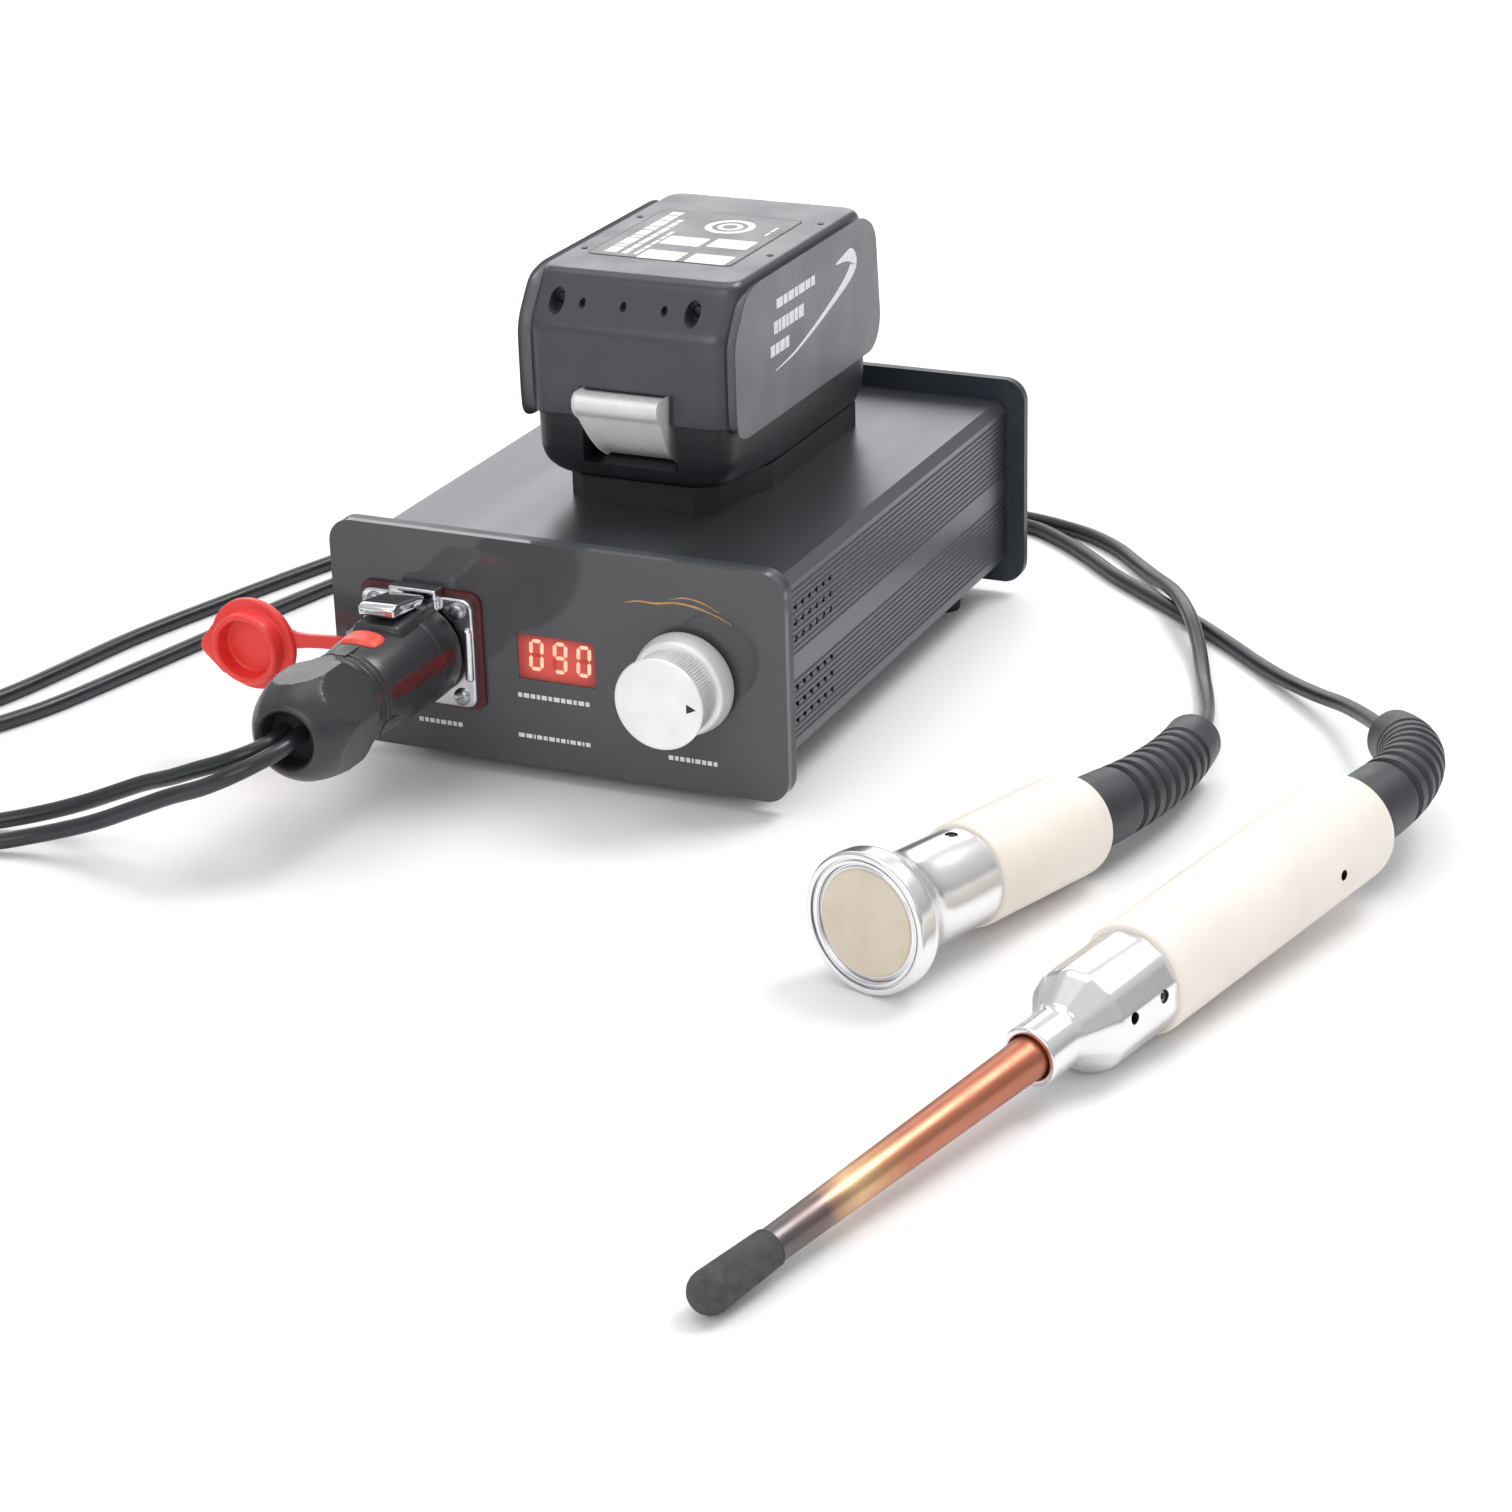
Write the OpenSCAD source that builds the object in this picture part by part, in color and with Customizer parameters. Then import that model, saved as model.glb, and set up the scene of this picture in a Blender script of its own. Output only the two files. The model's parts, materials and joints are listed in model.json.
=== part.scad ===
// Battery-powered soldering iron station: an aluminium case with a slide-on battery,
// a plug with two leads, a disc-headed handpiece and a copper-rod handpiece.
// Millimetres. X to the right, Y to the back, Z up. The origin is on the floor, under
// the middle of the case.

/* [Case] */
// Width of the front and rear panels
panel_w = 160; // [150:1:170]
// Height of the front and rear panels
panel_h = 76; // [72:1:80]
// Corner radius of the panels
panel_r = 8; // [5:0.5:10]
// Depth of the case over both panels
case_d = 214; // [205:1:225]
// Height of the panels' lower edge above the floor
panel_lift = 5; // [3:0.5:6]
// Thickness of the printed overlay on the front
overlay_t = 2.5; // [2:0.1:3]
// Thickness of the aluminium front bezel
bezel_t = 3.5; // [3:0.1:4]
// Thickness of the rear panel
rear_t = 3.5; // [3:0.1:4]
// Width of the two extruded case shells
body_w = 147; // [144:1:150]
// Height of the shells' underside above the floor
body_lift = 12; // [11:0.5:13]
// Height of the shells' top face above the floor
body_top = 73.5; // [72:0.5:76]
// Wall of the case shells
wall = 2.4; // [2:0.1:2.8]

/* [Front] */
// Socket centre, left of the middle
socket_x = -47; // [-50:0.5:-44]
// Height of the socket's centre
socket_z = 42; // [40:0.5:44]
// Knob centre, right of the middle
knob_x = 46.5; // [44:0.5:50]
// Height of the display, the knob and the encoder
controls_z = 42.5; // [41:0.5:44]
// Width of the display window
window_w = 27.5; // [24:0.5:28]
// Height of the display window
window_h = 15.3; // [14:0.1:16]
// Distance that the knob stands out of the front
knob_reach = 22; // [20:0.5:24]
// Travel of the knob when it is pressed
knob_press = 0.8; // [0.4:0.1:1]

/* [Battery] */
// Width of the battery between its side panels
pack_w = 72; // [70:0.5:73]
// Length of the battery
pack_l = 120; // [114:1:121]
// Height of the battery's top above the floor
pack_top = 150; // [148:0.5:153]
// Distance from the front panel's face to the battery's front
pack_setback = 57; // [55:1:60]
// Height of the line between the battery's case and its cover
pack_seam = 104; // [103:0.5:105]

/* [Handpieces] */
// Turn of the disc handpiece about the vertical, from +Y to +X
disc_turn = 16.2; // [14:0.1:18]
// Fall of the disc handpiece from its head to its lead, in degrees
disc_fall = 2.6; // [2.2:0.1:2.6]
// Radius of the disc head's rim
disc_r = 21.3; // [20.5:0.1:21.4]
// Turn of the rod handpiece about the vertical, from +Y to +X
rod_turn = 15.4; // [14:0.1:17]
// Rise of the rod handpiece from its tip to its lead, in degrees
rod_rise = 3.3; // [3.2:0.1:3.6]
// Radius of the rod handle
rod_grip_r = 16.8; // [16:0.1:16.8]
// Radius of the disc handle
disc_grip_r = 16; // [15.5:0.1:16.2]
// Length of the disc handle
disc_grip_l = 55; // [54:1:56]
// Length of the rod handle
rod_grip_l = 113; // [112:1:114]

/* [Leads] */
// Diameter of the two leads
lead_d = 5.2; // [4.5:0.1:5.3]

/* [Hidden] */
$fn = 48;
gap = 0.3;
front_y = -case_d / 2;
bezel_y = front_y + overlay_t;
shell_y0 = bezel_y + bezel_t;
shell_y1 = case_d / 2 - rear_t;
panel_mid_z = panel_lift + panel_h / 2;
split_z = (body_lift + body_top) / 2;
side_x = body_w / 2;
inner_x = side_x - wall;
edge = 3;
rib_pitch = 1.9;
rib_depth = 0.45;
vent_r = 1.05;
vent_pitch = 5.5;
vent_y0 = front_y + 23;
vent_count = 6;
upper_vents = [51.5, 56.9, 62.3];
lower_vents = [24.2, 29.7, 35.1];
channel_x = 67.6;
channel_upper_z = 67.6;
channel_lower_z = 17.9;
channel_r = 3.9;
screw_r = 1.5;
hole_r = 1.65;
head_r = 2.8;
board_z = 21;
board_t = 1.6;
board_w = 122;
board_l = 176;
post_x = 55;
post_y = 82;
fan_x = 38;
fan_z = split_z;
fan_size = 40;
fan_t = 10;
window_x = 0.3;
socket_hole_r = 14.2;
flange_w = 40;
flange_h = 37;
flange_t = 3;
gasket_t = 1.3;
socket_screw_x = 15;
socket_screw_z = 14.7;
cap_pivot = [-68.5, -115.2];
cap_z = 41.2;
bush_r = 3.5;
shaft_r = 3;
run = 0.05;
adapter_w = 68;
adapter_y0 = -8;
adapter_y1 = 62;
rail_z = 82;
pack_y0 = front_y + pack_setback;
pack_y1 = pack_y0 + pack_l;
pack_x = pack_w / 2;
rail_top = 94;
button_w = 32;
disc_nose = [147.5, -209, 21.6];
rod_tip = [176.7, -383.8, 6.1];
boot_arc = 61;
disc_straight = 21;
rod_straight = 18;
disc_bend = 22;
rod_bend = 56;
rod_hole_turn = -12;
rod_droop = 16;
coil_r = 29;
coil_h = 18.2;
west_coil = [-285, -215];
east_coil = [-215, -205];

// Routes of the two leads. The disc lead leaves the gland on the right and is coiled
// in the west; the rod lead leaves it on the left and is coiled in the east.
disc_lead_out = [
    [-45, -186.8, 42.5], [-45, -198, 42], [-49, -207, 40], [-57, -212, 36],
    [-67, -212, 31], [-79, -211, 26], [-92, -211, 20], [-105, -211, 14],
    [-116, -212, 10], [-128, -214, 6.5], [-140, -218, 4], [-153, -224, 2.7],
    [-166, -232, 2.7], [-180, -240, 2.7], [-195, -246, 2.7], [-211, -249, 2.7],
    [-230, -249, 2.7], [-250, -247, 2.7], [-270, -245, 2.7], [-285, -244, 2.7]];
disc_lead_back = [
    [-302, -192, 15.3], [-286, -180, 13], [-270, -168, 8.5], [-254, -156, 4.5],
    [-239, -145, 2.7], [-225, -134, 2.7], [-214, -122, 2.7], [-209, -106, 2.7],
    [-205, -84, 2.7], [-199, -49, 2.7], [-187, -5, 2.7], [-173, 41, 2.7],
    [-158, 80, 2.7], [-135, 116, 2.7], [-104, 145, 2.7], [-68, 165, 2.7],
    [-30, 176, 2.7], [5, 180, 2.7], [35, 179.5, 2.7], [57, 176.5, 2.7],
    [72, 172, 2.7], [85, 166, 2.7], [98, 156, 2.7], [110, 143, 2.7],
    [121, 129, 4], [130, 116, 6.4], [137, 105, 8], [144, 93, 8.6],
    [150, 82, 8], [156, 70, 6], [161.5, 57, 4], [166.5, 44, 3],
    [171.5, 31, 3.4], [176, 18, 4.8], [180, 5, 7], [183.5, -8, 9.8],
    [186, -21, 12.2], [187, -31.3, 13.3]];
rod_lead_out = [
    [-51, -186.8, 42.5], [-51, -195, 42], [-54.5, -201.5, 40.5], [-63, -204, 37],
    [-73, -204, 33], [-84, -202, 28], [-96, -199, 23], [-108, -198, 17.5],
    [-120, -197, 12], [-133, -199, 7.5], [-146, -203, 4.4], [-160, -210, 2.7],
    [-173, -218, 2.7], [-186, -226, 2.7], [-200, -231.5, 2.7], [-215, -234, 2.7]];
rod_lead_back = [
    [-240, -190.5, 15], [-232, -177, 13.6], [-222, -164, 10], [-211, -152, 6],
    [-201, -141, 3.2], [-194, -126, 2.7], [-188, -107, 2.7], [-181, -75, 2.7],
    [-174, -42, 2.7], [-166, -5, 2.7], [-156, 32, 2.7], [-140, 70, 2.7],
    [-115, 105, 2.7], [-82, 135, 2.7], [-44, 156, 2.7], [-8, 167, 2.7],
    [28, 171, 2.7], [57, 169, 2.7], [74, 159, 2.7], [90, 145, 2.7],
    [106, 129, 2.7], [122, 115.5, 2.7], [137, 103, 2.7], [151, 91, 2.7],
    [165, 78, 2.7], [179, 64, 2.9], [193, 50, 4], [207.5, 36, 6.2],
    [222, 21, 9.8], [234.7, 2.3, 14.3], [243.2, -12.8, 17.9],
    [248.6, -22.1, 19.7]];

// ---- Shared shapes ----

// A cylinder along Y from y0 to y1.
module ycyl(x, z, r, y0, y1) {
    translate([x, y0, z]) rotate([-90, 0, 0]) cylinder(r = r, h = y1 - y0);
}

// A cylinder along X from x0 to x1.
module xcyl(y, z, r, x0, x1) {
    translate([x0, y, z]) rotate([0, 90, 0]) cylinder(r = r, h = x1 - x0);
}

// A plate facing the front with round corners, from y0 to y1.
module plate(x, z, w, h, r, y0, y1) {
    translate([x - w / 2 + r, y0, z - h / 2]) cube([w - 2 * r, y1 - y0, h]);
    translate([x - w / 2, y0, z - h / 2 + r]) cube([w, y1 - y0, h - 2 * r]);
    for (i = [-1, 1], k = [-1, 1])
        ycyl(x + i * (w / 2 - r), z + k * (h / 2 - r), r, y0, y1);
}

// A box between two corners.
module block(low, high) {
    translate(low) cube(high - low);
}

// A turned shape about an axis along Y; each point is [radius, distance forward].
module turned(x, z, points) {
    translate([x, front_y, z]) rotate([90, 0, 0]) rotate_extrude() polygon(points);
}

// The four screw channels at the corners of the case.
module at_channels(zs = [channel_lower_z, channel_upper_z]) {
    for (i = [-1, 1], z = zs) translate([i * channel_x, 0, z]) children();
}

// Unit vector from point a to point b.
function toward(a, b) = (b - a) / norm(b - a);

// Direction of a route at its point i.
function heading(route, i) =
    toward(route[max(i - 1, 0)], route[min(i + 1, len(route) - 1)]);

// Ring of points of radius r about a route's point i.
function ring(route, i, r, sides) =
    let (d = heading(route, i),
         u = toward([0, 0, 0], cross(d, [0, 0, 1])),
         v = cross(u, d))
    [for (k = [0 : sides - 1])
        route[i] + r * (cos(360 * k / sides) * u + sin(360 * k / sides) * v)];

// Faces of a tube of n rings, with a cap at each end.
function tube_faces(n, sides) = concat(
    [[for (k = [0 : sides - 1]) k]],
    [for (i = [0 : n - 2], k = [0 : sides - 1])
        let (a = i * sides + k, b = i * sides + (k + 1) % sides)
        [a, a + sides, b + sides, b]],
    [[for (k = [sides - 1 : -1 : 0]) (n - 1) * sides + k]]);

// A solid swept along a route; radii holds one radius for each point.
module swept(route, radii, sides = 8) {
    n = len(route);
    polyhedron([for (i = [0 : n - 1]) each ring(route, i, radii[i], sides)],
               tube_faces(n, sides));
}

module lead(route) {
    color([0.15, 0.16, 0.18]) swept(route, [for (p = route) lead_d / 2]);
}

// ---- Case ----

// V grooves at the given heights in a side at x, drawn upward or downward (s = 1 or -1).
function ribbed_side(x, rows, s) =
    [for (z = rows) each
        [[x, z - s * 0.6], [x - sign(x) * rib_depth, z], [x, z + s * 0.6]]];

function reversed(list) = [for (i = [len(list) - 1 : -1 : 0]) list[i]];

// Outline of one shell: a channel section with chamfered corners and ribbed sides.
// rows holds the grooves' heights, base is the open edge and top the closed face.
function shell_outline(rows, base, top) =
    let (s = sign(top - base), t = top - s * wall)
    concat(
        [[side_x, base]], ribbed_side(side_x, rows, s),
        [[side_x, top - s * edge], [side_x - edge, top]],
        [[-side_x + edge, top], [-side_x, top - s * edge]],
        ribbed_side(-side_x, reversed(rows), -s), [[-side_x, base], [-inner_x, base]],
        [[-inner_x, t - s * 2], [-inner_x + 2, t], [inner_x - 2, t], [inner_x, t - s * 2]],
        [[inner_x, base]]);

module shell_section(outline) {
    translate([0, shell_y1, 0]) rotate([90, 0, 0])
        linear_extrude(shell_y1 - shell_y0) polygon(outline);
}

module vent_rows(rows) {
    for (z = rows, i = [0 : vent_count - 1], s = [-1, 1])
        xcyl(vent_y0 + i * vent_pitch, z, vent_r,
             s * side_x - wall - 1, s * side_x + wall + 1);
}

module channel_posts(z) {
    at_channels([z]) ycyl(0, 0, channel_r, shell_y0, shell_y1);
}

module channel_bores(z) {
    at_channels([z]) ycyl(0, 0, screw_r, shell_y0 - 1, shell_y1 + 1);
}

upper_rows = [for (i = [0 : 11]) 47.2 + i * rib_pitch];
lower_rows = [for (i = [0 : 10]) 18.8 + i * rib_pitch];

module upper_shell() {
    color([0.3, 0.31, 0.33]) difference() {
        union() {
            shell_section(shell_outline(upper_rows, split_z, body_top));
            channel_posts(channel_upper_z);
        }
        channel_bores(channel_upper_z);
        vent_rows(upper_vents);
        for (i = [-1, 1], y = [adapter_y0 + 10, adapter_y1 - 10])
            translate([i * 28, y, body_top - 5]) cylinder(r = screw_r, h = 6);
    }
}

module lower_shell() {
    color([0.28, 0.29, 0.31]) difference() {
        union() {
            shell_section(shell_outline(reversed(lower_rows), split_z, body_lift));
            channel_posts(channel_lower_z);
            for (i = [-1, 1], k = [-1, 1])
                translate([i * post_x, k * post_y, body_lift + wall])
                    cylinder(r = 3, h = board_z - body_lift - wall);
        }
        channel_bores(channel_lower_z);
        vent_rows(lower_vents);
        for (i = [-1, 1], k = [-1, 1])
            translate([i * post_x, k * post_y, body_lift + 1])
                cylinder(r = screw_r, h = board_z);
    }
}

module front_bezel() {
    color([0.22, 0.22, 0.23]) difference() {
        plate(0, panel_mid_z, panel_w, panel_h, panel_r, bezel_y, shell_y0);
        ycyl(socket_x, socket_z, socket_hole_r, bezel_y - 1, shell_y0 + 1);
        ycyl(knob_x, controls_z, bush_r + 0.1, bezel_y - 1, shell_y0 + 1);
        block([window_x - 15.4, bezel_y - 1, controls_z - 9.4],
              [window_x + 15.4, shell_y0 + 1, controls_z + 9.4]);
        at_channels() ycyl(0, 0, hole_r, bezel_y - 1, shell_y0 + 1);
        at_channels() ycyl(0, 0, head_r + 0.2, bezel_y - 1, bezel_y + 1.7);
        socket_screw_holes(bezel_y - 1, shell_y0 + 1, hole_r);
    }
}

module front_overlay() {
    color([0.36, 0.36, 0.37]) difference() {
        plate(0, panel_mid_z, panel_w, panel_h, panel_r, front_y, bezel_y);
        ycyl(socket_x, socket_z, socket_hole_r, front_y - 1, bezel_y + 1);
        ycyl(knob_x, controls_z, bush_r + 0.1, front_y - 1, bezel_y + 1);
        block([window_x - window_w / 2, front_y - 1, controls_z - window_h / 2],
              [window_x + window_w / 2, bezel_y + 1, controls_z + window_h / 2]);
        socket_screw_holes(front_y - 1, bezel_y + 1, hole_r);
    }
}

// Holes of the finger guard in front of the fan: a centre hole and three rings.
module fan_guard_holes() {
    ycyl(fan_x, fan_z, 1.8, shell_y1 - 1, shell_y1 + rear_t + 1);
    for (row = [1 : 3], i = [0 : 6 * row - 1])
        ycyl(fan_x + 5.2 * row * cos(60 * i / row), fan_z + 5.2 * row * sin(60 * i / row),
             1.8, shell_y1 - 1, shell_y1 + rear_t + 1);
}

module rear_panel() {
    color([0.17, 0.19, 0.21]) difference() {
        plate(0, panel_mid_z, panel_w, panel_h, panel_r, shell_y1, shell_y1 + rear_t);
        at_channels() ycyl(0, 0, hole_r, shell_y1 - 1, shell_y1 + rear_t + 1);
        fan_guard_holes();
    }
}

module rubber_feet() {
    color([0.08, 0.08, 0.08]) {
        for (i = [-1, 1], k = [-1, 1]) translate([i * 56, k * 84, 0])
            rotate_extrude() polygon([[2, 3], [2, 0], [6.4, 0], [8, body_lift], [2, body_lift]]);
        cylinder(r1 = 6.4, r2 = 8, h = body_lift);
    }
}

// One pan-head screw pointing along +Y with its head's seat at y.
module pan_screw(x, y, z, length, r = screw_r) {
    translate([x, y, z]) rotate([-90, 0, 0]) rotate_extrude() polygon([
        [0, length], [r - 0.05, length], [r - 0.05, 0], [head_r, 0],
        [head_r - 0.3, -1.2], [head_r - 1.2, -1.6], [1, -1.6], [1, -0.6], [0, -0.6]]);
}

module case_screws() {
    color([0.55, 0.56, 0.58]) {
        at_channels() pan_screw(0, bezel_y + 1.65, 0, 12);
        mirror([0, 1, 0]) at_channels() pan_screw(0, -case_d / 2, 0, 12);
        for (i = [-1, 1], k = [-1, 1])
            translate([i * post_x, k * post_y, board_z + board_t]) rotate([-90, 0, 0])
                pan_screw(0, 0, 0, 6);
    }
}

// ---- Display, board and cooling ----

module display_window() {
    color([0.6, 0.1, 0.08]) block(
        [window_x - window_w / 2 + 0.05, front_y + 0.3, controls_z - window_h / 2 + 0.05],
        [window_x + window_w / 2 - 0.05, bezel_y, controls_z + window_h / 2 - 0.05]);
}

module display_module() {
    color([0.2, 0.35, 0.25]) {
        block([window_x - 15.2, bezel_y, controls_z - 9.2],
              [window_x + 15.2, shell_y0 + 4, controls_z + 9.2]);
        block([window_x - 24, shell_y0 + 4, controls_z - 13],
              [window_x + 24, shell_y0 + 5.6, controls_z + 13]);
        for (i = [-1, 1], k = [-1, 1])
            ycyl(window_x + i * 20, controls_z + k * 10.5, 2, shell_y0, shell_y0 + 4);
    }
}

module main_board() {
    color([0.1, 0.35, 0.2]) difference() {
        block([-board_w / 2, -board_l / 2, board_z],
              [board_w / 2, board_l / 2, board_z + board_t]);
        for (i = [-1, 1], k = [-1, 1])
            translate([i * post_x, k * post_y, board_z - 1]) cylinder(r = hole_r, h = 4);
    }
}

module heat_sink() {
    z0 = board_z + board_t;
    color([0.75, 0.76, 0.78]) {
        block([-52, -20, z0], [-12, 50, z0 + 4]);
        for (i = [0 : 7]) block([-52 + i * 5.5, -20, z0 + 4], [-50.5 + i * 5.5, 50, z0 + 28]);
    }
}

module capacitors() {
    color([0.2, 0.22, 0.3]) for (i = [0 : 2])
        translate([5 + i * 19, -45, board_z + board_t]) cylinder(r = 8, h = 25);
}

module inductor() {
    color([0.72, 0.42, 0.2]) translate([25, 15, board_z + board_t + 7])
        rotate_extrude() translate([15, 0]) circle(r = 7);
}

module fan_frame() {
    y0 = shell_y1 - fan_t;
    h = fan_size / 2;
    color([0.12, 0.12, 0.13]) {
        difference() {
            block([fan_x - h, y0, fan_z - h], [fan_x + h, shell_y1, fan_z + h]);
            ycyl(fan_x, fan_z, 18.6, y0 - 1, shell_y1 + 1);
        }
        ycyl(fan_x, fan_z, 7.5, y0, y0 + 1.5);
        ycyl(fan_x, fan_z, 1.5, y0 + 1.5, shell_y1 - 0.6);
        for (a = [45 : 90 : 315]) translate([fan_x, y0, fan_z]) rotate([0, a, 0])
            translate([7, 0, -1.2]) cube([12, 1.5, 2.4]);
    }
}

module fan_rotor() {
    y0 = shell_y1 - fan_t + 2;
    color([0.15, 0.15, 0.16]) difference() {
        union() {
            ycyl(fan_x, fan_z, 8, y0, y0 + 7);
            for (a = [0 : 51.43 : 359]) translate([fan_x, y0 + 3.5, fan_z])
                rotate([0, a, 0]) translate([7.5, 0, 0]) rotate([35, 0, 0])
                    translate([0, -0.6, -3.4]) cube([10.2, 1.2, 6.8]);
        }
        ycyl(fan_x, fan_z, 1.5 + run, y0 - 1, y0 + 8);
    }
}

// ---- Knob and encoder ----

module encoder_body() {
    y0 = shell_y0;
    color([0.5, 0.5, 0.52]) difference() {
        union() {
            block([knob_x - 7, y0, controls_z - 7], [knob_x + 7, y0 + 8, controls_z + 7]);
            ycyl(knob_x, controls_z, bush_r, front_y - 5, y0);
            translate([knob_x, front_y, controls_z]) rotate([90, 0, 0])
                cylinder(r = 5.8, h = 2, $fn = 6);
        }
        ycyl(knob_x, controls_z, shaft_r + run, front_y - 6, y0 + 2.2);
        ycyl(knob_x, controls_z, 5, y0 + 2, y0 + 7);
    }
}

module encoder_plunger() {
    color([0.8, 0.7, 0.3])
        ycyl(knob_x, controls_z, 4.4, shell_y0 + 4.4, shell_y0 + 5.4);
}

module encoder_shaft() {
    color([0.8, 0.8, 0.82])
        ycyl(knob_x, controls_z, shaft_r, front_y - knob_reach + 5, shell_y0 + 4.2);
}

module knob() {
    r = knob_reach;
    color([0.9, 0.9, 0.91]) turned(knob_x, controls_z, [
        [8, 1.6], [16.5, 1.6], [16.8, 2.2], [16.8, 4.6], [15.6, 9], [14.2, 9.4],
        [14.2, r - 1.8], [15, r - 1.4], [15, r - 0.4], [14.6, r], [0, r], [0, r - 5],
        [shaft_r + 0.02, r - 5], [shaft_r + 0.02, 7], [8, 7]]);
}

// ---- Battery and its adapter ----

module adapter_screw_pockets() {
    for (i = [-1, 1], y = [adapter_y0 + 10, adapter_y1 - 10]) {
        translate([i * 28, y, body_top - 1]) cylinder(r = hole_r, h = 30);
        translate([i * 28, y, body_top + 4]) cylinder(r = 3.2, h = 30);
    }
}

module battery_adapter() {
    w = adapter_w / 2;
    color([0.13, 0.13, 0.15]) difference() {
        union() {
            translate([0, 0, body_top]) linear_extrude(rail_z - body_top) polygon([
                [-20, -44], [20, -44], [27, -38], [w, -12], [w, adapter_y1 - 3],
                [w - 3, adapter_y1], [3 - w, adapter_y1], [-w, adapter_y1 - 3], [-w, -12],
                [-27, -38]]);
            block([-20, adapter_y0, rail_z], [20, adapter_y1, rail_top]);
            block([-24, adapter_y0, 90], [24, adapter_y1, rail_top]);
        }
        adapter_screw_pockets();
    }
}

module adapter_terminals() {
    color([0.8, 0.65, 0.3]) for (x = [-12, 0, 12])
        block([x - 0.6, 15, rail_top], [x + 0.6, 40, rail_top + 3.6]);
}

// The T-shaped channel along the battery's underside, open at its rear end.
module rail_channel() {
    y0 = adapter_y0 - 3;
    y1 = pack_y1 + 1;
    block([-20 - gap, y0, 80], [20 + gap, y1, rail_top + gap]);
    block([-24 - gap, y0, 90 - gap], [24 + gap, y1, rail_top + gap]);
    block([-15, y0, rail_top], [15, y1, rail_top + 4]);
}

module battery_case() {
    color([0.11, 0.12, 0.14]) difference() {
        hull() {
            for (i = [-1, 1]) {
                for (y = [pack_y0 + 10, pack_y1 - 8.5])
                    translate([i * (pack_x - 8.5), y, 92]) cylinder(r = 8, h = pack_seam - 92);
                for (p = [[18.5, -35], [25.6, -11], [25.6, 54]])
                    translate([i * p[0], p[1], rail_z + gap]) cylinder(r = 8, h = 2);
            }
        }
        rail_channel();
        block([-button_w / 2 - 1, pack_y0 - 10, 88.2],
              [button_w / 2 + 1, pack_y0 + 14, pack_seam + 1]);
        block([-pack_x + 4, pack_y0 + 16, 99.5], [pack_x - 4, pack_y1 - 5, pack_seam + 1]);
    }
}

// Outer form of the battery cover; inset shrinks it evenly for the hollow inside.
module cover_form(inset) {
    x = pack_x - 8;
    hull() {
        for (i = [-1, 1]) {
            translate([i * x, pack_y0 + 8, pack_seam]) cylinder(r = 8 - inset, h = 30);
            translate([i * x, pack_y1 - 8, pack_seam]) cylinder(r = 8 - inset, h = 34);
            for (y = [pack_y0 + 17, pack_y1 - 14])
                translate([i * x, y, pack_top - 3 - inset])
                    cylinder(r1 = 8 - inset, r2 = 6.6 - inset / 2, h = 3);
        }
    }
}

// The four small screws in the battery's top.
module at_cover_screws() {
    for (p = [[-31, 36], [-31, 78], [31, 47], [31, 89]])
        translate([p[0], pack_y0 + p[1], pack_top]) children();
}

module battery_cover() {
    color([0.29, 0.3, 0.33]) difference() {
        cover_form(0);
        translate([0, 0, -0.02]) cover_form(2.4);
        at_cover_screws() translate([0, 0, -1.25]) cylinder(r = 1.15, h = 3);
    }
}

module battery_side_panels() {
    outline = [
        [pack_y0 + 4, 102], [pack_y0 + 3, 108], [pack_y0 + 3, 133], [pack_y0 + 12, 145],
        [pack_y0 + 20, 147], [pack_y1 - 14, 147], [pack_y1 - 4, 141.5],
        [pack_y1 - 0.5, 108], [pack_y1 - 6, 101], [pack_y0 + 8, 100]];
    color([0.42, 0.43, 0.45]) for (s = [0, 1]) mirror([s, 0, 0])
        translate([pack_x, 0, 0]) rotate([90, 0, 90]) linear_extrude(2.8) polygon(outline);
}

module battery_label() {
    color([0.75, 0.75, 0.76])
        block([-27.5, pack_y0 + 30, pack_top], [24.5, pack_y0 + 90, pack_top + 0.3]);
}

module battery_cells() {
    color([0.2, 0.4, 0.7]) for (k = [0 : 4], z = [115, 134])
        translate([-32.4, pack_y0 + 21 + 19 * k, z]) rotate([0, 90, 0]) cylinder(r = 9, h = 64.8);
}

module battery_board() {
    color([0.1, 0.35, 0.2])
        block([-29, pack_y0 + 18, 100.5], [29, pack_y1 - 8, 102.1]);
}

module release_button() {
    y0 = pack_y0;
    scoop = [for (a = [0 : 15 : 90]) [y0 + 9 - 14 * cos(a), 89.5 + 20 * (1 - sin(a))]];
    profile = concat(
        [[y0 - 0.5, 116], [y0 - 5.5, 116], [y0 - 7, 114.6], [y0 - 7, 111.5]],
        scoop, [[y0 + 12.5, 88.5], [y0 + 12.5, 99], [y0 - 0.5, 99]]);
    color([0.9, 0.9, 0.9]) translate([-button_w / 2, 0, 0]) rotate([90, 0, 90])
        linear_extrude(button_w) polygon(profile);
}

module battery_screws() {
    color([0.3, 0.3, 0.32]) at_cover_screws() translate([0, 0, -1.2]) cylinder(r = 1.1, h = 1.4);
}

// ---- Socket and plug ----

module socket_screw_holes(y0, y1, r) {
    for (i = [-1, 1], k = [-1, 1])
        ycyl(socket_x + i * socket_screw_x, socket_z + k * socket_screw_z, r, y0, y1);
}

module socket_gasket() {
    color([0.4, 0.08, 0.08]) difference() {
        plate(socket_x, socket_z, flange_w + 3.5, flange_h + 3, 4, front_y - gasket_t, front_y);
        ycyl(socket_x, socket_z, socket_hole_r, front_y - gasket_t - 1, front_y + 1);
        socket_screw_holes(front_y - gasket_t - 1, front_y + 1, hole_r);
    }
}

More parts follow.
